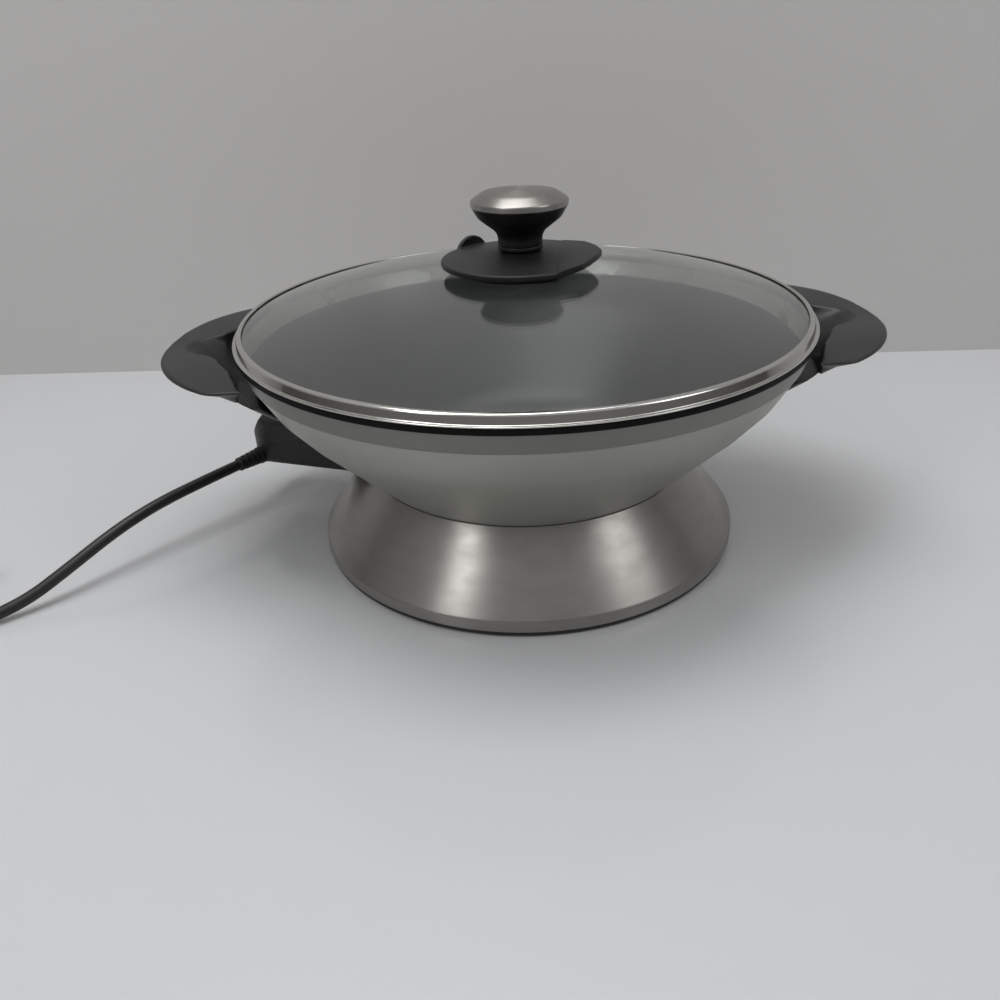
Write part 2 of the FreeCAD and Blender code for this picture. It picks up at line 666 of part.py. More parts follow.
def make_pan():
    ridge = box("rod_ridge", "ridge_start", "-ridge_width / 2", "ridge_bottom",
                "element_end - ridge_start", "ridge_width",
                "bottom_height + floor_thickness / 2 - ridge_bottom")
    boss = cylinder("stud_boss", "boss_radius", "boss_drop + floor_thickness / 2",
                    z="boss_bottom")
    bore = bar_along("rod_bore", "rod_radius + fit_gap", "ridge_start + pan_wall",
                     "element_end + cut_margin", "0", "rod_height")
    stud_hole = cylinder("stud_hole", "stud_radius + fit_gap", "stud_depth + cut_margin",
                         z="boss_bottom - cut_margin")
    groove = element_tube("element_groove", size("fit_gap"))
    lugs, holes = [], []
    for side in ("", "-"):
        for way, reach in (("right", ""), ("left", "-")):
            name = "%s_%s" % (way, "front" if side else "rear")
            lugs.append(bar_along("lug_" + name, "lug_radius",
                                  *ordered(reach, "knee_radius", "lug_reach"),
                                  side + "lug_spread", "lug_height"))
            holes.append(bar_along("lug_hole_" + name, "handle_screw + fit_gap",
                                   *ordered(reach, "lug_reach - lug_radius",
                                            "lug_reach + cut_margin"),
                                   side + "lug_spread", "lug_height"))
    form = fuse("pan_form", pan_outside("pan_outer_form", "0"),
                turned(group("rod_ridge_turned", ridge)), boss, *lugs)
    body = cut("pan_cut", form, pan_inside(), turned(group("rod_bore_turned", bore)),
               turned(groove), stud_hole, *holes)
    node("pan_body", body)


def ordered(sign, near, far):
    """The two ends of a bar that runs outwards, lowest X first."""
    return (near, far) if sign == "" else ("-(%s)" % far, "-(%s)" % near)


def make_element():
    node("heating_element", turned(cut("element_cut", element_tube("element_tube", 0),
                                       *pin_bars("element_pin_hole", "0"))))
    node("terminal_pins", turned(group("pins_group", *pin_bars("pin", "0"))))
    bushes = []
    for side in ("", "-"):
        outer = bar_along("bush_outer" + word(side), "bush_radius", "element_end",
                          "element_end + shroud_wall", side + "terminal_spread",
                          "terminal_height")
        inner = bar_along("bush_inner" + word(side), "pin_radius + fit_gap",
                          "element_end - cut_margin", "element_end + shroud_wall + cut_margin",
                          side + "terminal_spread", "terminal_height")
        bushes.append(cut("bush" + word(side), outer, inner))
    node("pin_insulators", turned(group("bush_group", *bushes)))


def word(sign):
    """A name for one of two mirrored pieces."""
    return "_far" if sign else "_near"


def pin_bars(name, gap):
    """The two terminal pins, grown by a gap."""
    return [bar_along(name + word(side), f"pin_radius + {gap}", "pin_start", "pin_end",
                      side + "terminal_spread", "terminal_height") for side in ("", "-")]


def make_shroud():
    """The moulded socket that guards the pins and guides the control's nose."""
    inside = "element_end + shroud_wall"
    block = box("shroud_block", "element_end", "-shroud_width / 2", "shroud_bottom",
                "shroud_mouth - element_end", "shroud_width", "shroud_top - shroud_bottom")
    space = box("shroud_space", inside, "shroud_wall - shroud_width / 2",
                "shroud_bottom + shroud_wall", f"shroud_mouth + cut_margin - ({inside})",
                "shroud_width - 2 * shroud_wall", "shroud_top - shroud_bottom - 2 * shroud_wall")
    holes = [bar_along("shroud_hole" + word(side), "bush_radius + fit_gap",
                       "element_end - cut_margin", f"{inside} + cut_margin",
                       side + "terminal_spread", "terminal_height") for side in ("", "-")]
    rod_hole = bar_along("shroud_rod_hole", "rod_radius + 2 * fit_gap",
                         "element_end - cut_margin", f"{inside} + cut_margin", "0", "rod_height")
    node("terminal_shroud", turned(cut("shroud_cut", block, space, rod_hole, *holes,
                                       pan_outside("pan_near_shroud", "seat_gap"))))


# ---------------------------------------------------------------- base

def make_skirt():
    """The brushed steel skirt, one sheet with an opening for the heat control."""
    sheet_metal = lathe("skirt_sheet", [
        ("base_radius - skirt_steel", "lip_ring_height"),
        ("base_radius", "lip_ring_height"),
        ("base_radius", "skirt_foot_height", "skirt_bend"),
        ("skirt_knee_radius", "skirt_knee_height"),
        ("skirt_top_radius", "seat_height"),
        ("skirt_top_radius - skirt_out", "seat_height - skirt_up"),
        ("skirt_knee_radius - skirt_out", "skirt_knee_height - skirt_up"),
        ("base_radius - skirt_steel", "skirt_foot_height"),
    ])
    notch = box("skirt_notch", "bottom_radius", "-notch_width / 2", "notch_bottom",
                "base_radius - bottom_radius", "notch_width", "seat_height - notch_bottom + cut_margin")
    node("base_skirt", cut("skirt_cut", sheet_metal, turned(group("notch_turned", notch))))


def rib(radius, top):
    """Four corners of a round rib on top of the frame, from its outside inwards."""
    half = "rib_thickness / 2"
    return [(f"{radius} + {half}", "frame_top"), (f"{radius} + {half}", top),
            (f"{radius} - {half}", top), (f"{radius} - {half}", "frame_top")]


def make_frame():
    """The black moulded frame under the pan: a raised middle inside a ring of feet."""
    moulding = lathe("frame_moulding", [
        ("frame_hole", "frame_floor"),
        ("frame_middle_radius", "frame_floor"),
        ("frame_ring_radius", "frame_clearance"),
        ("base_radius - skirt_steel + fit_gap", "frame_clearance"),
        ("base_radius - skirt_steel + fit_gap", "lip_ring_height"),
        ("frame_edge", "lip_ring_height"),
        ("frame_edge", "frame_ring_top"),
        ("frame_ring_radius + frame_thickness", "frame_ring_top"),
        ("frame_middle_radius + frame_thickness / 2", "frame_top"),
        *rib("shield_rib_radius", "shield_height"),
        *rib("hub_radius", "bottom_height"),
        ("frame_hole", "frame_top"),
    ])
    pockets = ring_of("foot_pockets", [
        ("0", "frame_clearance - cut_margin"),
        ("foot_radius + fit_gap", "frame_clearance - cut_margin"),
        ("foot_radius + fit_gap", "foot_height"),
        ("screw_radius + fit_gap", "foot_height"),
        ("screw_radius + fit_gap", "foot_height + foot_screw_length"),
        ("0", "foot_height + foot_screw_length"),
    ], "foot_ring", 4)
    shield_holes = ring_of("shield_holes", [
        ("0", "shield_height - shield_screw_length"),
        ("screw_radius + fit_gap", "shield_height - shield_screw_length"),
        ("screw_radius + fit_gap", "shield_height + cut_margin"),
        ("0", "shield_height + cut_margin"),
    ], "shield_rib_radius", 3)
    node("base_frame", cut("frame_cut", moulding, pockets, shield_holes))


def make_feet():
    recess = "foot_height - screw_head_height / 2"
    node("base_feet", ring_of("feet", [
        ("screw_radius + fit_gap", recess),
        ("screw_head + fit_gap", recess),
        ("screw_head + fit_gap", "0"),
        ("foot_radius", "0"),
        ("foot_radius", "foot_height"),
        ("screw_radius + fit_gap", "foot_height"),
    ], "foot_ring", 4))
    node("foot_screws", ring_of("foot_screws_ring", [
        ("0", f"{recess} - screw_head_height"),
        ("screw_head", f"{recess} - screw_head_height"),
        ("screw_head", recess),
        ("screw_radius", recess),
        ("screw_radius", "foot_height + foot_screw_length - screw_head_height"),
        ("0", "foot_height + foot_screw_length - screw_head_height"),
    ], "foot_ring", 4))


def make_heat_shield():
    """A steel dish between the element and the frame."""
    dish = lathe("shield_dish", [
        ("hub_radius + rib_thickness / 2 + fit_gap", "shield_height"),
        ("shield_radius - shield_rim", "shield_height"),
        ("shield_radius", "shield_height + shield_rim"),
        ("shield_radius - shield_steel", "shield_height + shield_rim + shield_steel"),
        ("shield_radius - shield_rim - shield_steel / 2", "shield_height + shield_steel"),
        ("hub_radius + rib_thickness / 2 + fit_gap", "shield_height + shield_steel"),
    ])
    holes = ring_of("dish_holes", [
        ("0", "shield_height - cut_margin"),
        ("screw_radius + fit_gap", "shield_height - cut_margin"),
        ("screw_radius + fit_gap", "shield_height + shield_steel + cut_margin"),
        ("0", "shield_height + shield_steel + cut_margin"),
    ], "shield_rib_radius", 3)
    node("heat_shield", cut("shield_cut", dish, holes))
    seat = "shield_height + shield_steel"
    node("shield_screws", ring_of("shield_screws_ring", [
        ("0", "shield_height - shield_screw_length + fit_gap"),
        ("screw_radius", "shield_height - shield_screw_length + fit_gap"),
        ("screw_radius", seat),
        ("screw_head", seat),
        ("screw_head", f"{seat} + screw_head_height"),
        ("0", f"{seat} + screw_head_height"),
    ], "shield_rib_radius", 3))


def make_latch():
    """A cross-headed stud on the pan, and the lever under the base that grips it."""
    stud = cylinder("stud_shank", "stud_radius",
                    "boss_bottom + stud_depth - fit_gap - stud_head_top", z="stud_head_top")
    head = box("stud_head", "-stud_head_length / 2", "-stud_head_width / 2",
               "stud_head_top - stud_head_height", "stud_head_length", "stud_head_width",
               "stud_head_height")
    node("locking_stud", fuse("stud", stud, head))
    hub = cylinder("lever_hub_disc", "lever_hub", "lever_thickness", z="lever_bottom")
    arm = box("lever_arm", "0", "-lever_width / 2", "lever_bottom", "lever_reach",
              "lever_width", "lever_thickness")
    grip = cylinder("lever_grip_disc", "lever_grip", "lever_thickness", x="lever_reach",
                    z="lever_bottom")
    hole = cylinder("lever_hole", "stud_radius + turn_gap", "lever_thickness + 2 * cut_margin",
                    z="lever_bottom - cut_margin")
    slot = box("lever_slot", "-stud_head_length / 2 - seat_gap", "-stud_head_width / 2 - seat_gap",
               "lever_bottom - cut_margin", "stud_head_length + 2 * seat_gap",
               "stud_head_width + 2 * seat_gap", "lever_thickness + 2 * cut_margin")
    arm_form = turned(fuse("lever_form", hub, arm, grip), "lever_azimuth")
    slot_turned = turned(group("lever_slot_turned", slot), "-lever_travel")
    node("release_lever", cut("lever_cut", arm_form, slot_turned, hole))


# ---------------------------------------------------------------- handles

def handle_section(height, reach, half_length):
    """A handle's outline at one height: a long curve with rounded ends."""
    curve, corner = size("handle_curve"), size("handle_corner")
    centre = reach - curve
    side = half_length - corner
    corner_x = centre + math.sqrt((curve - corner) ** 2 - side ** 2)
    outwards = Vector(corner_x - centre, side, 0) * (1 / (curve - corner))
    touch = Vector(centre, 0, 0) + outwards * curve
    bulge = (outwards + Vector(0, 1, 0)).normalize() * corner + Vector(corner_x, side, 0)
    inside = size("seat_radius")

    def at(x, y):
        return Vector(x, y, height)

    edges = [
        Part.LineSegment(at(inside, -half_length), at(corner_x, -half_length)),
        Part.Arc(at(corner_x, -half_length), at(bulge.x, -bulge.y), at(touch.x, -touch.y)),
        Part.Arc(at(touch.x, -touch.y), at(reach, 0), at(touch.x, touch.y)),
        Part.Arc(at(touch.x, touch.y), at(bulge.x, bulge.y), at(corner_x, half_length)),
        Part.LineSegment(at(corner_x, half_length), at(inside, half_length)),
        Part.LineSegment(at(inside, half_length), at(inside, -half_length)),
    ]
    return Part.Wire([edge.toShape() for edge in edges])


def above_crest():
    """Everything above a handle's waved top edge, as a cutting tool."""
    spread, end_y = size("crest_spread"), size("handle_half_length + cut_margin")
    low, high, last = size("crest_middle"), size("crest_top"), size("crest_end")
    inside, outside = size("seat_radius"), size("handle_reach + cut_margin")
    roof = size("rim_height + handle_corner")
    wave = Part.BSplineCurve()
    wave.interpolate([Vector(inside, y, z) for y, z in (
        (-end_y, last), (-spread, high), (0, low), (spread, high), (end_y, last))])
    sides = [Vector(inside, end_y, last), Vector(inside, end_y, roof),
             Vector(inside, -end_y, roof), Vector(inside, -end_y, last)]
    wire = Part.Wire([wave.toShape(), *Part.makePolygon(sides).Edges])
    return Part.Face(wire).extrude(Vector(outside - inside, 0, 0))


def handle_shape(pan):
    """A moulded handle on the +X side, shaped like a scoop round a finger space."""
    slab = Part.makeLoft([
        handle_section(size("handle_root_height"), size("handle_root_reach"),
                       size("handle_root_half")),
        handle_section(size("handle_brim_height"), size("handle_reach - seat_gap"),
                       size("handle_half_length")),
        handle_section(size("crest_top + handle_gap"), size("handle_reach"),
                       size("handle_half_length")),
    ], True, True)
    floor = size("handle_pocket_height")
    depth = size("rim_height + handle_corner") - floor
    round_lip = Part.makeCylinder(size("rim_radius + handle_gap"), depth, Vector(0, 0, floor))
    mouth = size("rim_height") - floor
    fingers = Part.makeCone(size("finger_root"), size("finger_mouth"), mouth,
                            Vector(size("finger_centre"), 0, floor))
    drills = []
    for side in (-1, 1):
        centre = Vector(size("seat_radius"), side * size("lug_spread"), size("lug_height"))
        lug = Part.makeCylinder(size("lug_radius + fit_gap"),
                                size("lug_reach + fit_gap - seat_radius"), centre, Vector(1, 0, 0))
        shank = Part.makeCylinder(size("handle_screw + fit_gap"),
                                  size("handle_reach - seat_radius"), centre, Vector(1, 0, 0))
        centre.x = size("handle_screw_start")
        head = Part.makeCylinder(size("handle_screw_head + fit_gap"),
                                 size("handle_reach - handle_screw_start"), centre,
                                 Vector(1, 0, 0))
        drills += [lug, shank, head]
    return slab.cut([pan, above_crest(), round_lip, fingers, *drills])


def make_handles():
    near_pan = pan_outside("pan_near_handles", "fit_gap")
    doc.recompute()
    shape = handle_shape(near_pan.Shape)
    node("handle_right", feature("handle_right_form", shape))
    mirrored = feature("handle_left_form", shape.copy())
    mirrored.Placement = Placement(Vector(), Rotation(Vector(0, 0, 1), 180))
    node("handle_left", mirrored)
    screws = []
    for side in ("", "-"):
        for way, sign in (("right", ""), ("left", "-")):
            name = "%s%s" % (way, word(side))
            spot = (side + "lug_spread", "lug_height")
            shank = bar_along("handle_shank_" + name, "handle_screw",
                              *ordered(sign, "lug_reach - lug_radius + fit_gap",
                                       "handle_screw_start"), *spot)
            head = bar_along("handle_head_" + name, "handle_screw_head",
                             *ordered(sign, "handle_screw_start",
                                      "handle_screw_start + screw_head_height"), *spot)
            screws.append(fuse("handle_screw_" + name, shank, head))
    node("handle_screws", group("handle_screw_group", *screws))


# ---------------------------------------------------------------- lid

def make_lid():
    inside = "apex - dome + sqrt(dome^2 - glass_hole^2)"
    dome = lathe("glass_dome", [
        ("glass_hole", f"{inside} - glass_thickness", "-dome"),
        ("glass_radius", "glass_bottom"),
        ("glass_radius", "glass_top", "dome"),
        ("glass_hole", inside),
    ])
    steam_holes = []
    for index in (-1, 0, 1):
        angle = f"vent_azimuth + {index} * vent_step"
        hole = cylinder("steam_hole_%d" % (index + 1), "vent_hole", "glass_rise",
                        f"vent_ring * cos({angle})", f"vent_ring * sin({angle})",
                        "apex - glass_rise / 2")
        steam_holes.append(hole)
    node("lid_glass", cut("glass_cut", dome, *steam_holes))
    wall = "lid_radius - rim_steel"
    shelf_top = "shelf_bottom + rim_steel"
    node("lid_rim", lathe("rim_section", [
        (wall, "hem_height"),
        ("lid_radius", "hem_height"),
        ("lid_radius", "lip_height_outside + rim_steel / 2"),
        (f"{wall} - rim_steel / 2", "lip_height_outside + rim_steel * 1.5"),
        ("lip_radius", "lip_height_inside + rim_steel"),
        ("lip_radius", "lip_height_inside"),
        (wall, "lip_height_outside"),
        (wall, shelf_top),
        ("skirt_radius - rim_steel", shelf_top),
        ("skirt_radius - rim_steel", "shelf_bottom - skirt_depth"),
        ("skirt_radius", "shelf_bottom - skirt_depth"),
        ("skirt_radius", "shelf_bottom"),
        (wall, "shelf_bottom"),
    ]))


def make_collar():
    """The steam collar: it turns on the knob's stem and covers or frees the holes."""
    bore = "knob_stem + turn_gap"
    disc = lathe("collar_disc", [
        (bore, "collar_hub_bottom"),
        ("collar_hub", "collar_hub_bottom"),
        ("collar_hub", "collar_bottom"),
        ("collar_radius", "collar_bottom"),
        ("collar_radius", "collar_bottom + collar_edge / 2", "collar_edge"),
        ("collar_radius - collar_edge / 2", "collar_bottom + collar_edge"),
        ("collar_hub", "collar_top"),
        (bore, "collar_top"),
    ])
    lifted = lathe("beak_plate", [
        ("beak_root - collar_edge", "collar_bottom"),
        ("beak_root + collar_edge", "collar_bottom"),
        ("beak_reach", "collar_bottom + beak_lift"),
        ("beak_reach", "collar_bottom + beak_lift + collar_edge"),
        ("beak_root - collar_edge", "collar_bottom + collar_edge + beak_rise"),
    ])
    half_width = "beak_reach * sin(beak_half_angle)"
    shoulder = "beak_reach * cos(beak_half_angle) - collar_edge"
    sector = [("0", "0"), (shoulder, "-" + half_width, "beak_curve"),
              ("beak_reach", "0", "beak_curve"), (shoulder, half_width)]
    beak_zone = pad("beak_zone", "XY_Plane", sector, "beak_reach", {"z": "apex"})
    place(beak_zone, turn="beak_azimuth")
    removed = cut("beak_opening", beak_zone,
                  cylinder("beak_keep", "beak_root", "beak_reach + 2 * cut_margin",
                           z="apex - cut_margin"))
    tab = doc.addObject("Part::Cylinder", "tab_disc")
    bind(tab, "Radius", "tab_radius")
    bind(tab, "Height", "tab_thickness")
    place(tab, "tab_place", "tab_thickness / 2", "tab_height", turn="90", axis=Vector(1, 0, 0))
    foot = cylinder("tab_foot", "tab_foot", "collar_edge", "tab_place + tab_radius / 3",
                    z="collar_bottom")
    below = box("tab_below", "tab_place - 2 * tab_radius", "-tab_radius",
                "collar_bottom - 4 * tab_radius", "4 * tab_radius", "2 * tab_radius",
                "4 * tab_radius")
    tab_form = cut("tab_form", fuse("tab_fuse", tab, foot), below)
    whole = fuse("collar_form", cut("collar_cut", disc, removed),
                 common("beak", lifted, beak_zone), turned(group("tab_turned", tab_form),
                                                          "tab_azimuth"))
    node("vent_collar", cut("collar_bored", whole,
                            cylinder("collar_bore", bore, "collar_top")))
    ring = lathe("seal_ring", [
        ("seal_inner", "seal_bottom"),
        ("seal_outer", "seal_bottom"),
        ("seal_outer", "collar_bottom"),
        ("seal_inner", "collar_bottom"),
    ])
    node("vent_seal", cut("seal_cut", ring, beak_zone))


def make_knob():
    """A moulded bowl on a stem, a steel ring at its neck and a steel cap on top."""
    plug = "bowl_radius - cap_steel"
    node("knob_base", lathe("knob_section", [
        ("knob_screw + fit_gap", "knob_bottom"),
        ("knob_stem", "knob_bottom"),
        ("knob_stem", "knob_foot_bottom"),
        ("knob_foot", "knob_foot_bottom"),
        ("knob_foot", "ring_bottom"),
        ("neck_radius", "ring_bottom"),
        ("neck_radius", "ring_top"),
        ("bowl_foot", "ring_top"),
        ("bowl_foot", "ring_top + bowl_straight", "-bowl_bend"),
        ("bowl_radius", "brim_height"),
        (plug + " - seat_gap", "brim_height"),
        (plug + " - seat_gap", "cap_shoulder - cap_steel"),
        ("cap_flat - cap_steel", "cap_top - cap_steel - seat_gap"),
        ("knob_screw + fit_gap", "cap_top - cap_steel - seat_gap"),
    ]))
    node("knob_ring", lathe("ring_section", [
        ("neck_radius + fit_gap", "ring_bottom + fit_gap"),
        ("ring_radius", "ring_bottom + fit_gap"),
        ("ring_radius", "ring_top - fit_gap"),
        ("neck_radius + fit_gap", "ring_top - fit_gap"),
    ]))
    node("knob_cap", lathe("cap_section", [
        ("cap_radius - cap_steel", "cap_bottom"),
        ("cap_radius", "cap_bottom"),
        ("cap_radius", "cap_shoulder"),
        ("cap_flat", "cap_top"),
        ("0", "cap_top + cap_crown"),
        ("0", "cap_top + cap_crown - cap_steel"),
        ("cap_flat - cap_steel / 2", "cap_top - cap_steel"),
        ("cap_radius - cap_steel", "cap_shoulder - cap_steel / 2"),
    ]))
    under = "apex - glass_thickness"
    head_top = f"{under} - washer_height - 2 * fit_gap"
    node("knob_screw", lathe("screw_section", [
        ("0", f"{head_top} - knob_screw_head_height"),
        ("knob_screw_head", f"{head_top} - knob_screw_head_height"),
        ("knob_screw_head", head_top),
        ("knob_screw", head_top),
        ("knob_screw", "ring_top + knob_screw_depth"),
        ("0", "ring_top + knob_screw_depth"),
    ]))
    upper = lathe("washer_upper", [
        ("knob_screw + fit_gap", "apex"),
        ("washer_radius", "apex"),
        ("washer_radius", "knob_bottom"),
        ("knob_screw + fit_gap", "knob_bottom"),
    ])
    lower = lathe("washer_lower", [
        ("knob_screw + fit_gap", f"{under} - washer_height - fit_gap"),
        ("washer_radius", f"{under} - washer_height - fit_gap"),
        ("washer_radius", f"{under} - fit_gap"),
        ("knob_screw + fit_gap", f"{under} - fit_gap"),
    ])
    node("knob_washers", group("washers", upper, lower))


# ---------------------------------------------------------------- heat control

def control_form():
    """The housing's outer form, shared by its three rounded outlines."""
    side = pad("control_side", "XZ_Plane", [
        ("control_front", "control_bottom"),
        ("control_rear - rear_curve", "control_bottom", "rear_curve"),
        ("control_rear", "control_bottom + rear_curve"),
        ("control_rear", "control_bottom + rear_curve + control_wall"),
        ("control_rear - rear_slope", "control_top"),
        ("control_front + front_slope", "control_top"),
        ("control_front", "control_top - front_slope"),
    ], "control_width + 2 * cut_margin", both_ways=True)
    half = "control_width / 2"
    plan = pad("control_plan", "XY_Plane", [
        ("control_front", "-" + half),
        ("control_rear - corner_curve", "-" + half, "corner_curve"),
        ("control_rear", f"corner_curve - {half}"),
        ("control_rear", f"{half} - corner_curve", "corner_curve"),
        ("control_rear - corner_curve", half),
        ("control_front", half),
    ], "control_top + dial_seat_height", {"z": "0"})
    across = pad("control_across", "YZ_Plane", [
        (f"bottom_curve - {half}", "control_bottom"),
        (f"{half} - bottom_curve", "control_bottom", "bottom_curve"),
        (half, "control_bottom + bottom_curve"),
        (half, "control_top - top_curve", "top_curve"),
        (f"{half} - top_curve", "control_top"),
        (f"top_curve - {half}", "control_top", "top_curve"),
        ("-" + half, "control_top - top_curve"),
        ("-" + half, "control_bottom + bottom_curve", "bottom_curve"),
    ], "control_rear + cut_margin")
    seat = cylinder("dial_seat_disc", "dial_seat", "top_curve + dial_seat_height", "dial_place",
                    z="control_top - top_curve")
    return fuse("control_form", common("control_common", side, plan, across), seat)


def control_space():
    """The space inside the housing, with two posts left standing for its screws."""
    rear = "control_rear - control_wall"
    space = pad("control_space", "XZ_Plane", [
        ("cavity_front", "control_bottom + control_wall"),
        (f"{rear} - rear_curve", "control_bottom + control_wall"),
        (f"{rear} - rear_curve", "control_bottom + rear_curve"),
        (f"{rear} - rear_slope", "control_top - control_wall"),
        ("control_front + front_slope + control_wall", "control_top - control_wall"),
        ("cavity_front", "control_top - front_slope"),
    ], "cavity_width", both_ways=True)
    posts = [cylinder("post" + word(side), "post_radius", "control_top", "post_place",
                      side + "post_spread") for side in ("", "-")]
    return cut("space_with_posts", space, *posts)


def above_parting(name, gap):
    """Everything above the housing's sloping parting line."""
    length, height = "2 * control_rear", "2 * control_rear"
    block = box(name + "_block", "-control_rear", "-control_width", gap, length,
                "2 * control_width", height)
    tilted = group(name, block)
    return place(tilted, "parting_place", "0", "parting_height", turn="parting_angle",
                 axis=Vector(0, 1, 0))


def relief_cone(name, gap):
    """The strain relief's cone, grown by a gap."""
    cone = doc.addObject("Part::Cone", name)
    bind(cone, "Radius1", f"relief_root + {gap}")
    bind(cone, "Radius2", f"relief_tip + {gap}")
    bind(cone, "Height", "relief_length")
    level = group(name + "_level", place(cone, turn="90", axis=Vector(0, 1, 0)))
    return place(level, "relief_place", "relief_side", "relief_height", turn="relief_azimuth")


def make_housing():
    form = control_form()
    rod_bore = bar_along("housing_rod_bore", "rod_radius + fit_gap",
                         "control_front - cut_margin", "cavity_front + cut_margin",
                         "0", "rod_height")
    contact_bores = [bar_along("housing_contact_bore" + word(side), "contact_radius + fit_gap",
                               "control_front - cut_margin", "cavity_front + cut_margin",
                               side + "terminal_spread", "terminal_height")
                     for side in ("", "-")]
    screw_bores = []
    for side in ("", "-"):
        spot = ("post_place", side + "post_spread")
        screw_bores.append(cylinder("screw_bore" + word(side), "screw_radius + fit_gap",
                                    "control_screw_length + control_wall", *spot,
                                    "control_bottom"))
        screw_bores.append(cylinder("screw_recess" + word(side), "screw_head + fit_gap",
                                    "control_wall + cut_margin", *spot,
                                    "control_bottom - cut_margin"))
    hollow = cut("control_shell", form, control_space(), relief_cone("relief_hole", "fit_gap"),
                 *screw_bores)
    shaft_hole = cylinder("shaft_hole", "dial_shaft + turn_gap", "control_top", "dial_place",
                          z="control_bottom + control_wall")
    lens_hole = cylinder("lens_hole", "lens_radius + fit_gap", "control_top", "lens_place",
                         z="switch_top")
    upper = common("upper_half", hollow, above_parting("upper_side", "fit_gap / 2"))
    node("probe_top_shell", turned(cut("upper_cut", upper, shaft_hole, lens_hole)))
    node("probe_bottom_shell", turned(cut("lower_cut", hollow,
                                          above_parting("upper_side_cut", "-fit_gap / 2"),
                                          rod_bore, *contact_bores)))


def make_nose():
    half, top = "nose_width / 2", "nose_bottom + nose_height"
    block = pad("nose_block", "YZ_Plane", [
        (f"nose_curve - {half}", "nose_bottom"),
        (f"{half} - nose_curve", "nose_bottom", "nose_curve"),
        (half, "nose_bottom + nose_curve"),
        (half, f"{top} - nose_curve", "nose_curve"),
        (f"{half} - nose_curve", top),
        (f"nose_curve - {half}", top, "nose_curve"),
        ("-" + half, f"{top} - nose_curve"),
        ("-" + half, "nose_bottom + nose_curve", "nose_curve"),
    ], "control_front - nose_start", {"z": "nose_start"})
    bores = [bar_along("nose_rod_bore", "rod_radius + fit_gap", "nose_start - cut_margin",
                       "control_front + cut_margin", "0", "rod_height")]
    for side in ("", "-"):
        bores.append(bar_along("nose_bore" + word(side), "contact_radius + fit_gap",
                               "nose_start - cut_margin", "control_front + cut_margin",
                               side + "terminal_spread", "terminal_height"))
    node("probe_nose", turned(cut("nose_cut", block, *bores)))
    rod = bar_along("rod_bar", "rod_radius", "rod_start + rod_radius", "rod_end", "0",
                    "rod_height")
    tip = doc.addObject("Part::Sphere", "rod_tip")
    bind(tip, "Radius", "rod_radius")
    place(tip, "rod_start + rod_radius", "0", "rod_height")
    node("probe_rod", turned(fuse("rod", rod, tip)))
    sleeves = []
    for side in ("", "-"):
        spot = (side + "terminal_spread", "terminal_height")
        outer = bar_along("sleeve_outer" + word(side), "contact_radius", "contact_start",
                          "contact_end", *spot)
        inner = bar_along("sleeve_inner" + word(side), "contact_bore",
                          "contact_start - cut_margin", "pin_end + cut_margin", *spot)
        sleeves.append(cut("sleeve" + word(side), outer, inner))
    node("probe_contacts", turned(group("sleeve_group", *sleeves)))


def make_control_insides():
    node("thermostat", turned(group("switch_group", box(
        "switch_block", "dial_place - switch_length / 2", "-switch_width / 2", "switch_bottom",
        "switch_length", "switch_width", "switch_height"))))
    lens = cylinder("lens_bar", "lens_radius", "lens_depth", "lens_place",
                    z="control_top - lens_depth")
    crown = doc.addObject("Part::Sphere", "lens_crown")
    bind(crown, "Radius", "2 * lens_radius")
    place(crown, "lens_place", "0", "control_top - lens_radius * sqrt(3)")
    below = cylinder("lens_below", "2 * lens_radius + cut_margin", "4 * lens_radius",
                     "lens_place", z="control_top - 4 * lens_radius")
    node("indicator_lens", turned(fuse("lens", lens, cut("lens_dome", crown, below))))
    screws = []
    for side in ("", "-"):
        spot = ("post_place", side + "post_spread")
        head = cylinder("control_screw_head" + word(side), "screw_head", "screw_head_height",
                        *spot, "control_bottom + control_wall - screw_head_height")
        shank = cylinder("control_screw_shank" + word(side), "screw_radius",
                         "control_screw_length - fit_gap", *spot,
                         "control_bottom + control_wall")
        screws.append(fuse("control_screw" + word(side), head, shank))
    node("probe_screws", turned(group("control_screw_group", *screws)))
    node("strain_relief", turned(group("relief_group", relief_cone("relief", "0"))))


def make_dial():
    """A ribbed dial on a shaft with a flat, which runs down to the thermostat."""
    top = "dial_bottom + dial_height"
    body = lathe("dial_form", [
        ("dial_shaft + fit_gap", "dial_bottom"),
        ("dial_radius", "dial_bottom"),
        ("dial_radius", "dial_bottom + dial_draft"),
        ("dial_radius - dial_draft", f"{top} - dial_draft"),
        ("dial_radius - 2 * dial_draft", top),
        ("0", top),
        ("0", "dial_bottom + shaft_in_dial + fit_gap"),
        ("dial_shaft + fit_gap", "dial_bottom + shaft_in_dial + fit_gap"),
    ])
    grooves = ring_of("dial_grooves", [
        ("0", "dial_bottom + 2 * dial_draft"),
        ("2 * dial_groove", "dial_bottom + 2 * dial_draft"),
        ("2 * dial_groove", f"{top} + cut_margin"),
        ("0", f"{top} + cut_margin"),
    ], "dial_radius", 18)
    node("dial", turned(group("dial_group", place(
        cut("dial_cut", body, grooves), "dial_place"))))
    shaft = cylinder("shaft_bar", "dial_shaft", "dial_bottom + shaft_in_dial"
                     " - switch_top - seat_gap", "dial_place", z="switch_top + seat_gap")
    flat = box("shaft_flat_cut", "dial_place + dial_shaft - shaft_flat", "-dial_shaft",
               "dial_bottom", "dial_shaft", "2 * dial_shaft", "shaft_in_dial + cut_margin")
    node("dial_shaft", turned(cut("shaft_cut", shaft, flat)))


# ---------------------------------------------------------------- cord

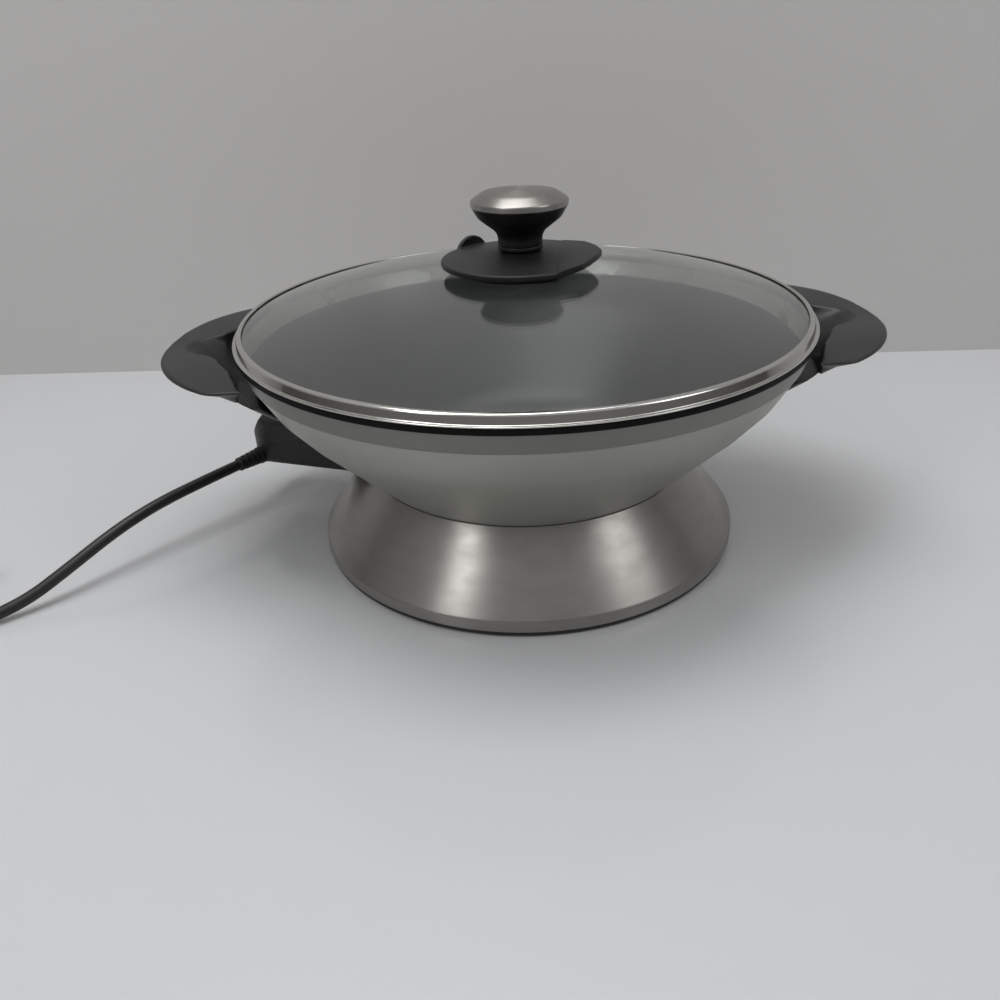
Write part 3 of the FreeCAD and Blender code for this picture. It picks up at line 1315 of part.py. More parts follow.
# The cord's way from the strain relief's root to its coil, chosen by hand: steps in X
# and Y from the root, and how much of the root's height above the table is left.
LEAD_STEPS = [
    (-17.2, -20.4, 1),
    (-39.5, -46.9, 0.99),
    (-62.5, -72.5, 0.93),
    (-83.5, -96.5, 0.75),
    (-104.5, -119.5, 0.45),
    (-127.5, -140.5, 0.125),
    (-155.5, -157.5, 0),
    (-184.5, -170.5, 0),
    (-212.5, -174.3, 0),
]
COIL_STEP = (-212.5, -128.5)
TAIL_STEPS = [(-258.3, -128.5, 0), (-258.3, -103.5, 0.036), (-248.5, -83.5, 0.155)]


def from_relief(steps):
    """Points of the cord's middle, from steps that start at the strain relief's root."""
    turn = "socket_azimuth"
    root_x = size(f"relief_place * cos({turn}) - relief_side * sin({turn})")
    root_y = size(f"relief_place * sin({turn}) + relief_side * cos({turn})")
    floor, drop = size("cord_radius"), size("relief_height - cord_radius")
    return [Vector(root_x + x, root_y + y, floor + share * drop) for x, y, share in steps]


def coil_place():
    """The middle of the coil on the table."""
    spot = from_relief([(*COIL_STEP, 0)])[0]
    return Vector(spot.x, spot.y, 0)


def cord_path(points):
    """Straight runs joined by the largest tangent arcs that they allow."""
    edges, last = [], points[0]
    for before, corner, after in zip(points, points[1:], points[2:]):
        back, ahead = before - corner, after - corner
        half_turn = (math.pi - back.getAngle(ahead)) / 2
        inset = 0.45 * min(back.Length, ahead.Length)
        radius = inset / math.tan(half_turn)
        print("cord bend radius %.0f mm" % radius)
        back, ahead = back.normalize(), ahead.normalize()
        start, end = corner + back * inset, corner + ahead * inset
        centre = corner + (back + ahead).normalize() * (radius / math.cos(half_turn))
        middle = centre + (corner - centre).normalize() * radius
        edges += [Part.LineSegment(last, start), Part.Arc(start, middle, end)]
        last = end
    edges.append(Part.LineSegment(last, points[-1]))
    return Part.Wire([edge.toShape() for edge in edges])


def cord_tube(points):
    path = cord_path(points)
    radius = size("cord_radius")
    section = Part.Wire(Part.makeCircle(radius, points[0], points[1] - points[0]))
    tube = path.makePipeShell([section], True, False)
    expected = math.pi * radius ** 2 * path.Length
    print("cord length %.0f mm, volume %.0f, section times length %.0f"
          % (path.Length, tube.Volume, expected))
    return tube


def make_cord():
    tubes = [feature("cord_lead", cord_tube(from_relief(LEAD_STEPS))),
             feature("cord_end", cord_tube(from_relief(TAIL_STEPS)))]
    node("cord", group("cord_runs", *tubes))
    low, high = "coil_radius - 2 * cord_radius", "coil_radius + 2 * cord_radius"
    coil = lathe("coil_section", [
        (f"{low} + cord_radius", "0"),
        (f"{high} - cord_radius", "0", "cord_radius"),
        (high, "cord_radius", "4 * cord_radius"),
        ("coil_radius + cord_radius / 2", "coil_height"),
        ("coil_radius - cord_radius / 2", "coil_height", "4 * cord_radius"),
        (low, "cord_radius", "cord_radius"),
    ])
    coil.Placement.Base = coil_place()
    node("cord_coil", coil)
    outer = box("tie_outer", f"{low} - tie_thickness", "-tie_width / 2", "0",
                "4 * cord_radius + 2 * tie_thickness", "tie_width",
                "coil_height + tie_thickness")
    hole = lathe("tie_hole", [
        (f"{low} - fit_gap", "-cut_margin"),
        (f"{high} + fit_gap", "-cut_margin"),
        (f"{high} + fit_gap", "coil_height + fit_gap"),
        (f"{low} - fit_gap", "coil_height + fit_gap"),
    ])
    tie = cut("tie", outer, hole)
    tie.Placement = Placement(coil_place(), Rotation(Vector(0, 0, 1), size("tie_azimuth")))
    node("cord_tie", tie)


def make_plug():
    """A plain two-blade plug that lies beside the coil."""
    before, end = from_relief(TAIL_STEPS)[-2:]
    along = end - before
    angle = math.degrees(math.atan2(along.y, along.x))
    face = end + along.normalize() * size("plug_face_gap")
    spot = Placement(Vector(face.x, face.y, 0), Rotation(Vector(0, 0, 1), angle))
    half_rear, half_face = "plug_rear / 2", "plug_width / 2"
    plan = pad("plug_plan", "XY_Plane", [
        ("0", "-" + half_rear),
        ("plug_neck", "-" + half_rear),
        ("plug_neck + plug_taper", "-" + half_face),
        ("plug_length", "-" + half_face),
        ("plug_length", half_face),
        ("plug_neck + plug_taper", half_face),
        ("plug_neck", half_rear),
        ("0", half_rear),
    ], "plug_height")
    plug = group("plug", plan)
    plug.Placement = spot
    node("plug_body", plug)
    blades = [box("blade" + word(side), "plug_length", f"{side}blade_spread - blade_thickness / 2",
                  "plug_height / 2 - blade_width / 2", "blade_length", "blade_thickness",
                  "blade_width") for side in ("", "-")]
    pair = group("blades", *blades)
    pair.Placement = spot
    node("plug_blades", pair)


# ---------------------------------------------------------------- build and write

def check_and_write():
    """Stop on anything that failed, then write each sub-part to its own file."""
    doc.recompute()
    for thing in doc.Objects:
        if "Invalid" in thing.State or "Error" in thing.State:
            raise RuntimeError("%s failed: %s" % (thing.Name, thing.State))
    for thing in NODES:
        if thing.Shape.isNull() or not thing.Shape.isValid() or not thing.Shape.Solids:
            raise RuntimeError("%s has no sound shape" % thing.Label)
    os.makedirs("parts", exist_ok=True)
    for thing in NODES:
        thing.Shape.exportStep("parts/%s.step" % thing.Label)
        print("%-20s solids %2d  volume %9.0f" % (
            thing.Label, len(thing.Shape.Solids), thing.Shape.Volume))


make_pan()
make_element()
make_shroud()
make_skirt()
make_frame()
make_feet()
make_heat_shield()
make_latch()
make_handles()
make_lid()
make_collar()
make_knob()
make_housing()
make_nose()
make_control_insides()
make_dial()
make_cord()
make_plug()
check_and_write()
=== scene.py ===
# %% [markdown]
# # Dressing an electric wok
# The solids of the wok come from its frame: every part already sits in its right place.
# This lesson gives them the looks of the real thing: spun and brushed steel, a coated
# cast pan, moulded handles, a domed glass lid and a cord. All lengths are written in
# millimetres and turned into Blender's metres by one small helper.

# %% Load the frame
import math

import bmesh
import bpy
from mathutils import Matrix, Vector


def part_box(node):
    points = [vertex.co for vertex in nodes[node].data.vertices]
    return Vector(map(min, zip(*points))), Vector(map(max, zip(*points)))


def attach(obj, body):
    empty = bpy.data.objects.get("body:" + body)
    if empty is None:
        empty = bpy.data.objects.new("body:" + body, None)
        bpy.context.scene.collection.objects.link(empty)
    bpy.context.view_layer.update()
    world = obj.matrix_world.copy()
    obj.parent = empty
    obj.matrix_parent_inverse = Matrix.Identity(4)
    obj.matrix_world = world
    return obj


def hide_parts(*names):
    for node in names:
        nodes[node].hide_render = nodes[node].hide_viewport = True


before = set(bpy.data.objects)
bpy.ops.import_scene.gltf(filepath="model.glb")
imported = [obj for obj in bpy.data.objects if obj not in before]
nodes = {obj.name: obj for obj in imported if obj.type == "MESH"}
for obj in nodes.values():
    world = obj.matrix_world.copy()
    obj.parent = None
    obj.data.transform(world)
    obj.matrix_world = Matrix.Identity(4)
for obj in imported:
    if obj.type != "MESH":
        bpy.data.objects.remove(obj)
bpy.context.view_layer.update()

MM = 0.001


def mm(*place):
    """A place in millimetres as a vector in metres."""
    return Vector(place) * MM


def new_object(name, data):
    """An object of the scene that shows a mesh, a curve, a lamp or a camera."""
    thing = bpy.data.objects.new(name, data)
    bpy.context.scene.collection.objects.link(thing)
    return thing


# %% [markdown]
# ## The camera
# A product picture is taken from a little above, looking down into the glass. The camera
# is described as a photographer would: how high it stands, how far back, how far it tips
# down and turns. The three directions of the camera follow from those angles.

# %% Camera
HEIGHT, BACK, ASIDE = 309.4, 540.9, -29.6
PITCH, YAW, ROLL = (math.radians(angle) for angle in (28.52, 1.11, -2.46))
SENSOR, FOCAL = 36, 31.41

camera = new_object("camera", bpy.data.cameras.new("camera"))
ahead = Vector((math.sin(YAW) * math.cos(PITCH), math.cos(YAW) * math.cos(PITCH),
                -math.sin(PITCH)))
level = Vector((math.cos(YAW), -math.sin(YAW), 0))
above = level.cross(ahead)
right = math.cos(ROLL) * level + math.sin(ROLL) * above
upward = math.cos(ROLL) * above - math.sin(ROLL) * level
turn = Matrix((right, upward, -ahead)).transposed().to_4x4()
camera.matrix_world = Matrix.Translation(mm(ASIDE, -BACK, HEIGHT)) @ turn
camera.data.sensor_width = SENSOR
camera.data.lens = FOCAL
bpy.context.scene.camera = camera
print("camera looks down by %.1f degrees" % math.degrees(PITCH))

# %% [markdown]
# ## Shader helpers
# Each finish is one Principled shader whose plain numbers sit on its own sockets. What
# changes over a surface, such as brushing, grain, rubbed edges and their painted highlight,
# comes from node groups that are built once and placed in every finish that shows the effect.

# %% Nodes and groups
def add(tree, kind, **settings):
    """A new node in a tree, with its settings."""
    made = tree.nodes.new(kind)
    for name, setting in settings.items():
        setattr(made, name, setting)
    return made


def wire(tree, source, target):
    """Link a socket to another, or set a plain number or colour on it."""
    if isinstance(source, bpy.types.NodeSocket):
        tree.links.new(source, target)
    else:
        target.default_value = (*source, 1) if isinstance(source, tuple) else source


def new_group(name, inputs, outputs):
    """An empty node group: inputs give a start value, outputs are all plain numbers."""
    tree = bpy.data.node_groups.new(name, "ShaderNodeTree")
    for label, start in inputs.items():
        socket = tree.interface.new_socket(label, in_out="INPUT", socket_type="NodeSocketFloat")
        socket.default_value = start
    for label in outputs:
        tree.interface.new_socket(label, in_out="OUTPUT", socket_type="NodeSocketFloat")
    return tree, add(tree, "NodeGroupInput"), add(tree, "NodeGroupOutput")


def place_group(tree, source, **values):
    """A group placed in a tree, with its own values; gives its outputs."""
    made = add(tree, "ShaderNodeGroup", node_tree=source)
    for label, number in values.items():
        wire(tree, number, made.inputs[label])
    return made.outputs


print("helpers for nodes and groups are ready")

# %% [markdown]
# ### Numbers, noise and ranges
# Masks are worked out inside the shader from a few kinds of node. Each helper gives back
# the socket with the result, so that one call can stand inside the next.

# %% Numbers, noise and ranges
def sums(tree, operation, *values):
    """One Math node; each value is a number or a socket."""
    made = add(tree, "ShaderNodeMath", operation=operation)
    for value, socket in zip(values, made.inputs):
        wire(tree, value, socket)
    return made.outputs[0]


def noise(tree, place, scale, detail=3.0, roughness=0.5):
    """The grey value of a noise at each place."""
    made = add(tree, "ShaderNodeTexNoise")
    for label, value in (("Vector", place), ("Scale", scale), ("Detail", detail),
                         ("Roughness", roughness)):
        wire(tree, value, made.inputs[label])
    return made.outputs["Fac"]


def spread(tree, value, low, high, to_low=0.0, to_high=1.0):
    """Stretch the range low..high of a value over another range."""
    made = add(tree, "ShaderNodeMapRange")
    for label, number in (("Value", value), ("From Min", low), ("From Max", high),
                          ("To Min", to_low), ("To Max", to_high)):
        wire(tree, number, made.inputs[label])
    return made.outputs["Result"]


def blend(tree, factor, base, other):
    """A colour on the way from base to other; the factor says how far."""
    mix = add(tree, "ShaderNodeMix", data_type="RGBA")
    for label, value in (("Factor", factor), ("A", base), ("B", other)):
        wire(tree, value, mix.inputs[label])
    return mix.outputs["Result"]


print("helpers for numbers, noise, ranges and colours are ready")

# %% [markdown]
# ### Brushing
# Steel that is polished while it spins carries fine lines that run round it. A plain
# noise is squeezed along the section and stretched round the axis. Taking the direction
# from the axis, and not the angle, keeps it free of a seam.

# %% Brushing group
HEIGHT_SHARE = 0.7


def brushing_group():
    """Lines round the Z axis: Height for the bump, Streaks for the gloss and colour."""
    tree, given, result = new_group("spun_brushing", {"Lines": 3000.0, "Length": 6.0},
                                    ("Height", "Streaks"))
    place = add(tree, "ShaderNodeTexCoord").outputs["Object"]
    split = add(tree, "ShaderNodeSeparateXYZ")
    wire(tree, place, split.inputs[0])
    x, y, z = split.outputs
    radius = sums(tree, "SQRT", sums(tree, "ADD", sums(tree, "MULTIPLY", x, x),
                                     sums(tree, "MULTIPLY", y, y)))
    safe = sums(tree, "MAXIMUM", radius, 0.0001)
    along = sums(tree, "ADD", radius, sums(tree, "MULTIPLY", z, HEIGHT_SHARE))
    heading = add(tree, "ShaderNodeCombineXYZ")
    for index, value in enumerate((x, y)):
        wire(tree, sums(tree, "MULTIPLY", sums(tree, "DIVIDE", value, safe),
                        given.outputs["Length"]), heading.inputs[index])
    wire(tree, sums(tree, "MULTIPLY", along, given.outputs["Lines"]), heading.inputs[2])
    lines = noise(tree, heading.outputs[0], 1.0, 4.0, 0.62)
    wire(tree, lines, result.inputs["Height"])
    wire(tree, spread(tree, lines, 0.3, 0.7), result.inputs["Streaks"])
    return tree


brushing = brushing_group()
print("group:", brushing.name)

# %% [markdown]
# ### Grain
# Moulds are etched, castings are blasted, and coatings dry with a faint orange peel. One
# group gives a fine grain for the bump and a slow cloud for uneven gloss.

# %% Grain group
def grain_group():
    """Height is the fine grain for the bump, Cloud the slow change of gloss and colour."""
    tree, given, result = new_group("fine_grain", {"Fine": 1500.0, "Slow": 12.0},
                                    ("Height", "Cloud"))
    place = add(tree, "ShaderNodeTexCoord").outputs["Object"]
    wire(tree, noise(tree, place, given.outputs["Fine"], 2.0), result.inputs["Height"])
    cloud = noise(tree, place, given.outputs["Slow"], 4.0, 0.6)
    wire(tree, spread(tree, cloud, 0.3, 0.7), result.inputs["Cloud"])
    return tree


grain = grain_group()
print("group:", grain.name)

# %% [markdown]
# ### Rubbed and highlighted edges, and dust
# Corners of mouldings and castings are painted a little paler: partly rubbed by use, partly
# a painted highlight where light catches an edge. Dust settles on what faces up. The
# corners are found with Pointiness, which compares each point with its neighbours, and both
# masks are broken up by noise so that they never look drawn.

# %% Rubbed edge and highlight group
def wear_group():
    """Edges marks rubbed corners, painted paler also as a highlight; Dust the specks on what faces
    up.
    """
    tree, given, result = new_group("edge_wear_and_highlight", {"Start": 0.53, "End": 0.6},
                                    ("Edges", "Dust"))
    geometry = add(tree, "ShaderNodeNewGeometry")
    place = add(tree, "ShaderNodeTexCoord").outputs["Object"]
    edge = spread(tree, geometry.outputs["Pointiness"], given.outputs["Start"],
                  given.outputs["End"])
    broken = spread(tree, noise(tree, place, 260.0, 5.0, 0.65), 0.35, 0.65)
    wire(tree, sums(tree, "MULTIPLY", edge, broken), result.inputs["Edges"])
    split = add(tree, "ShaderNodeSeparateXYZ")
    wire(tree, geometry.outputs["Normal"], split.inputs[0])
    facing_up = spread(tree, split.outputs[2], 0.55, 1.0)
    specks = spread(tree, noise(tree, place, 900.0, 3.0, 0.7), 0.56, 0.74)
    wire(tree, sums(tree, "MULTIPLY", facing_up, specks), result.inputs["Dust"])
    return tree


wear_and_edge_highlight = wear_group()
print("group:", wear_and_edge_highlight.name)

# %% [markdown]
# ### A finish
# The helper below makes a Principled material and wires the groups into it: the grain or
# the brushing goes to the bump, clouds and streaks to the roughness, and rubbed edges,
# painted paler also as a highlight, and dust tint the colour.

# %% Finish helper
LOOKS = {}
DUST = (0.55, 0.53, 0.5)


def new_material(name, **plain):
    """A Principled material; plain sets sockets of its shader, with _ for a space."""
    material = LOOKS[name] = bpy.data.materials.new(name)
    material.use_nodes = True
    tree = material.node_tree
    sockets = tree.nodes["Principled BSDF"].inputs
    for label, value in plain.items():
        wire(tree, value, sockets[label.replace("_", " ")])
    return tree, sockets


def finish(name, colour, gloss, metal=0.0, pattern="grain", depth=0.02, bump=0.2,
           cloud=0.06, edge_highlight_and_wear=0.3, dust=0.12, fine=1500.0, lines=3000.0, **plain):
    """A material: gloss is its mean roughness and cloud how much that varies; the edge share
    says how far its edges are painted paler, for rubbing and as a painted highlight; dust
    says how much its upper sides show dust, and plain sets any other socket."""
    tree, sockets = new_material(name, Metallic=metal, **plain)
    if pattern == "brushed":
        made = place_group(tree, brushing, Lines=lines)
        variation = made["Streaks"]
    else:
        made = place_group(tree, grain, Fine=fine)
        variation = made["Cloud"]
    wire(tree, spread(tree, variation, 0.0, 1.0, gloss - cloud, gloss + cloud),
         sockets["Roughness"])
    relief = add(tree, "ShaderNodeBump")
    wire(tree, bump, relief.inputs["Strength"])
    wire(tree, depth * MM, relief.inputs["Distance"])
    wire(tree, made["Height"], relief.inputs["Height"])
    wire(tree, relief.outputs["Normal"], sockets["Normal"])
    marks = place_group(tree, wear_and_edge_highlight)
    pale = tuple(min(1.0, part * 1.8 + 0.03) for part in colour)
    shade = tuple(part * 0.88 for part in colour)
    tone = colour
    # Paler edges are partly rubbing and partly a painted highlight where light catches an edge.
    for mask, share, other in ((variation, 0.8, shade), (marks["Edges"], edge_highlight_and_wear, pale),
                               (marks["Dust"], dust, DUST)):
        tone = blend(tree, sums(tree, "MULTIPLY", mask, share), tone, other)
    wire(tree, tone, sockets["Base Color"])


print("finish helper is ready")

# %% [markdown]
# ## The pan's coatings
# The pan is coated outside in a warm grey with a faint metal glint, darker in a band
# under the lip. Its inside wears a dark non-stick, sprayed while the pan spins, and a
# pale satin band round the top. The lip is coated black; it is painted near black with
# little gloss so that it also stands for the shadow in the gap under the lid's rim.

# %% Pan coatings
finish("pan_enamel", (0.37, 0.37, 0.33), 0.38, metal=0.4, bump=0.1, cloud=0.03, edge_highlight_and_wear=0.0,
       dust=0.05, fine=1400.0, Coat_Weight=0.2, Coat_Roughness=0.2)
finish("pan_band", (0.2, 0.195, 0.18), 0.42, metal=0.4, depth=0.03, bump=0.16, cloud=0.04,
       edge_highlight_and_wear=0.0, dust=0.08, fine=1200.0)
finish("nonstick", (0.045, 0.05, 0.048), 0.38, pattern="brushed", bump=0.04, edge_highlight_and_wear=0.0,
       dust=0.04, lines=900.0)
finish("inner_band", (0.5, 0.51, 0.48), 0.3, metal=0.6, bump=0.1, cloud=0.05, edge_highlight_and_wear=0.0,
       dust=0.03)
# The lip's near-black colour and low gloss are partly painted shadow of the gap under the lid's
# rim.
finish("lip_coating_and_gap_shade", (0.002, 0.002, 0.002), 0.6, edge_highlight_and_wear=0.02, dust=0.01,
       Specular_IOR_Level=0.15)
print(len(LOOKS), "finishes so far:", ", ".join(LOOKS))

# %% [markdown]
# ## The steels
# The base and the knob's cap are brushed, the lid's rim is polished. A brushed surface
# stretches its highlights across the lines: the shader's anisotropy does that, once a
# tangent that runs round the Z axis tells it where the lines go.

# %% Steels
def brushed_highlights(name, share):
    """Stretch the highlights across the brush lines that run round the Z axis."""
    tree = LOOKS[name].node_tree
    sockets = tree.nodes["Principled BSDF"].inputs
    wire(tree, share, sockets["Anisotropic"])
    wire(tree, 0.25, sockets["Anisotropic Rotation"])
    tangent = add(tree, "ShaderNodeTangent", direction_type="RADIAL", axis="Z")
    wire(tree, tangent.outputs[0], sockets["Tangent"])


finish("polished_steel", (0.66, 0.65, 0.62), 0.12, metal=1.0, pattern="brushed", bump=0.05,
       depth=0.01, cloud=0.05, edge_highlight_and_wear=0.0, dust=0.03, lines=5000.0)
finish("brushed_steel", (0.37, 0.355, 0.335), 0.34, metal=1.0, pattern="brushed", bump=0.05,
       depth=0.01, cloud=0.03, edge_highlight_and_wear=0.0, dust=0.0, lines=1500.0)
finish("dark_steel", (0.05, 0.05, 0.05), 0.35, metal=0.8, edge_highlight_and_wear=0.05)
brushed_highlights("brushed_steel", 0.7)
brushed_highlights("polished_steel", 0.4)
print(len(LOOKS), "finishes so far")

# %% [markdown]
# ## The mouldings
# Mouldings run from a soft charcoal on the handles to black on the knob. The mould's
# etched grain keeps them from shining, and the seal and the feet are dull rubber.

# %% Mouldings
# The handles' paler edges are partly a painted highlight along the crisp edge of the hollow.
finish("handle_moulding", (0.012, 0.012, 0.0125), 0.4, bump=0.22, cloud=0.05, edge_highlight_and_wear=0.22,
       dust=0.03, fine=2200.0)
finish("collar_moulding", (0.01, 0.01, 0.0105), 0.46, bump=0.25, cloud=0.05, edge_highlight_and_wear=0.2,
       dust=0.05, fine=2200.0)
finish("knob_moulding", (0.004, 0.004, 0.004), 0.34, bump=0.1, cloud=0.05, edge_highlight_and_wear=0.15,
       dust=0.05)
finish("black_moulding", (0.012, 0.012, 0.012), 0.45, bump=0.25, edge_highlight_and_wear=0.2)
finish("control_grey", (0.018, 0.018, 0.018), 0.42, bump=0.25, edge_highlight_and_wear=0.25, dust=0.05,
       fine=2000.0)
finish("dial_moulding", (0.02, 0.02, 0.02), 0.35, bump=0.15, edge_highlight_and_wear=0.4, dust=0.1)
finish("marks", (0.6, 0.6, 0.58), 0.5, edge_highlight_and_wear=0.0, dust=0.0)
finish("rubber", (0.009, 0.009, 0.009), 0.75, bump=0.4, edge_highlight_and_wear=0.1, dust=0.06, fine=1100.0)
finish("cord_sheath", (0.012, 0.012, 0.012), 0.42, bump=0.15, edge_highlight_and_wear=0.1)
finish("tie", (0.02, 0.02, 0.02), 0.5, edge_highlight_and_wear=0.2, dust=0.1)
print(len(LOOKS), "finishes so far")

# %% [markdown]
# ## Inner parts
# Little of these is seen: the ceramic of the pins' bushes, the heating element, screws,
# the steel shield under the element, the dial's shaft and the plug's brass blades.

# %% Inner parts
finish("ceramic", (0.75, 0.73, 0.68), 0.5, edge_highlight_and_wear=0.0, dust=0.2)
finish("element_metal", (0.42, 0.41, 0.4), 0.42, metal=0.9, bump=0.3, depth=0.04, edge_highlight_and_wear=0.2,
       dust=0.2, fine=600.0)
finish("screw_steel", (0.5, 0.5, 0.49), 0.3, metal=1.0, edge_highlight_and_wear=0.2)
finish("shield_metal", (0.55, 0.55, 0.55), 0.35, metal=1.0, pattern="brushed", edge_highlight_and_wear=0.0)
finish("shaft_metal", (0.5, 0.5, 0.49), 0.3, metal=1.0)
finish("blade_metal", (0.72, 0.6, 0.36), 0.25, metal=1.0, edge_highlight_and_wear=0.2)
print(len(LOOKS), "finishes so far")

# %% [markdown]
# ### Glass and lens
# Tempered glass is clear, a touch grey-green, and its thick edge drinks the light. Glass
# keeps plain metal and transmission numbers. Only its roughness varies, with the faint
# wipe marks that every lid has. The pilot lens is tinted plastic.

# %% Glass finishes
def clear_finish(name, colour, gloss, index):
    """Glass or clear plastic, whose wipe marks make it a little rougher in places."""
    tree, sockets = new_material(name, Base_Color=colour, Transmission_Weight=1.0, IOR=index)
    smears = place_group(tree, grain, Slow=5.0)["Cloud"]
    wire(tree, spread(tree, smears, 0.0, 1.0, gloss * 0.4, gloss), sockets["Roughness"])


clear_finish("lid_glass", (0.93, 0.95, 0.94), 0.03, 1.5)
clear_finish("lens", (0.8, 0.12, 0.05), 0.12, 1.49)
print(len(LOOKS), "finishes in all")

# %% [markdown]
# ## Dress the frame's own nodes
# Most small parts are right as they come from the frame: screws, pins, the heating
# element. They keep their mesh and only get the matching finish, by their slot's name.

# %% Dress the nodes
LOOK_OF_SLOT = {"cast_pan": "pan_enamel"}

for thing in nodes.values():
    for slot in thing.material_slots:
        label = slot.material.name.split(".")[0]
        look = LOOK_OF_SLOT.get(label, label)
        if look in LOOKS:
            slot.material = LOOKS[look]
        else:
            print("no finish for", label)
print("dressed", len(nodes), "nodes")

# %% [markdown]
# ## A lathe for round parts
# Pan, lid, base and knob are all spun or turned, so they are drawn as a section beside
# the axis. Each corner may carry its own rounding, which a plain modeller's bevel would
# make the same everywhere, and each run may carry its own finish.

# %% Rounded corners
def share_of_run(rounding, neighbour):
    """How much of the run to its neighbour a corner's rounding may use up."""
    other = neighbour[2] if len(neighbour) > 2 else 0
    return 0.98 * rounding / (rounding + other)


def rounded(corners, arc_step=9.0):
    """The section with its corners rounded: (radius, height, rounding, finish)."""
    line = []
    for index, corner in enumerate(corners):
        previous, following = corners[index - 1], corners[(index + 1) % len(corners)]
        here = Vector(corner[:2])
        rounding = corner[2] if len(corner) > 2 else 0
        paint = corner[3] if len(corner) > 3 else (line[-1][2] if line else 0)
        before, after = Vector(previous[:2]) - here, Vector(following[:2]) - here
        if not rounding or before.length < 1e-6 or after.length < 1e-6:
            line.append((here.x, here.y, paint))
            continue
        bend = math.pi - before.angle(after)
        reach = min(rounding * math.tan(bend / 2),
                    before.length * share_of_run(rounding, previous),
                    after.length * share_of_run(rounding, following))
        radius = reach / math.tan(bend / 2)
        before, after = before.normalized(), after.normalized()
        middle = here + (before + after).normalized() * (radius / math.cos(bend / 2))
        first, last = here + before * reach - middle, here + after * reach - middle
        angle = first.angle(last)
        steps = max(2, round(math.degrees(bend) / arc_step))
        for step in range(steps + 1):
            share = step / steps
            spoke = (first * math.sin((1 - share) * angle)
                     + last * math.sin(share * angle)) / math.sin(angle)
            line.append((middle.x + spoke.x, middle.y + spoke.y, paint))
    return line


print("a rounded square has", len(rounded([(0, 0, 1), (9, 0, 1), (9, 9, 1), (0, 9, 1)])), "points")

# %% [markdown]
# ### Smooth shading
# Faces are shaded smooth, so that light slides over them, but an edge that bends by more
# than the crease angle stays crisp.

# %% Smooth meshes
CREASE = math.radians(32)


def smooth(mesh):
    """Shade a mesh smooth, all but its creases."""
    mesh.shade_smooth()
    mesh.set_sharp_from_angle(angle=CREASE)


def mesh_piece(name, points, faces, paints=None):
    """A smooth-shaded object from points in metres, with creases kept sharp."""
    mesh = bpy.data.meshes.new(name)
    mesh.from_pydata([tuple(point) for point in points], [], faces)
    if paints:
        mesh.polygons.foreach_set("material_index", paints)
    mesh.validate()
    smooth(mesh)
    return new_object(name, mesh)


print("creases stay sharp from", round(math.degrees(CREASE)), "degrees")

# %% [markdown]
# ### Turning
# The section is set up in even steps round the Z axis and its rows of points are joined
# by faces. A corner that lies on the axis is one point, and the faces at it are triangles.

# %% Lathe
def turned(name, corners, steps=240, looks=()):
    """Spin a section round the Z axis; its corners run counter-clockwise."""
    line = rounded(corners)
    spokes = [(math.cos(math.tau * k / steps), math.sin(math.tau * k / steps))
              for k in range(steps)]
    points, rows = [], []
    for radius, height, _ in line:
        if radius < 1e-6:
            rows.append([len(points)] * steps)
            points.append(mm(0, 0, height))
        else:
            rows.append(list(range(len(points), len(points) + steps)))
            points += [mm(radius * c, radius * s, height) for c, s in spokes]
    faces, paints = [], []
    for index, row in enumerate(rows):
        after = rows[(index + 1) % len(rows)]
        if row[0] == row[-1] and after[0] == after[-1]:
            continue
        for k in range(steps):
            n = (k + 1) % steps
            faces.append(list(dict.fromkeys((row[k], row[n], after[n], after[k]))))
            paints.append(line[index][2])
    thing = mesh_piece(name, points, faces, paints)
    for look in looks:
        thing.data.materials.append(LOOKS[look])
    print(name, "turned with", len(faces), "faces")
    return thing


def stand_in(thing, body, slot, *replaced):
    """Let a piece ride on its body and replace nodes of the frame; slot is not used."""
    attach(thing, body)
    if replaced:
        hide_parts(*replaced)


print("lathe is ready")

# %% [markdown]
# ## Cutting openings
# Holes and notches are cut with Blender's exact boolean. The result is taken as a new
# mesh at once, so that the cutter can be thrown away.

# %% Cutter
def baked(thing):
    """Apply all modifiers of an object to its mesh."""
    shape = thing.evaluated_get(bpy.context.evaluated_depsgraph_get())
    mesh = bpy.data.meshes.new_from_object(shape)
    thing.modifiers.clear()
    thing.data = mesh


def combine(thing, other, operation):
    """Cut another piece from a piece, or keep what both share; the other one goes."""
    tool = thing.modifiers.new("tool", "BOOLEAN")
    tool.operation, tool.solver, tool.object = operation, "EXACT", other
    baked(thing)
    bpy.data.objects.remove(other)


def cut_away(thing, cutter):
    """Cut one piece from another and shade what is left."""
    combine(thing, cutter, "DIFFERENCE")
    smooth(thing.data)
    return thing


print("cutter is ready")

# %% [markdown]
# ### Stacked outlines
# What isn't round is built from outlines with the same number of points, one after the
# other, joined by faces and closed at both ends. Two rectangles give a block, and two
# equal outlines a prism.

# %% Stacked outlines
def stacked(name, rings):
    """Join outlines, each a list of points, into one closed shape."""
    count = len(rings[0])
    points = [point for ring in rings for point in ring]
    top = len(points) - count
    faces = [tuple(reversed(range(count))), tuple(range(top, top + count))]
    for level in range(0, top, count):
        faces += [(level + k, level + (k + 1) % count, level + count + (k + 1) % count,
                   level + count + k) for k in range(count)]
    return mesh_piece(name, points, faces)


def prism(name, outline, low, high):
    """A flat outline in X and Y, pulled up from one height to another."""
    return stacked(name, [[mm(x, y, z) for x, y in outline] for z in (low, high)])


def block(name, low, high, azimuth=0.0):
    """A box between two corners in millimetres, turned about Z."""
    outline = [(low[0], low[1]), (high[0], low[1]), (high[0], high[1]), (low[0], high[1])]
    return turned_to(prism(name, outline, low[2], high[2]), azimuth)


def turned_to(thing, azimuth):
    """Turn a piece about the Z axis, by an angle in degrees."""
    thing.data.transform(Matrix.Rotation(math.radians(azimuth), 4, "Z"))
    return thing


print("outlines can be stacked")
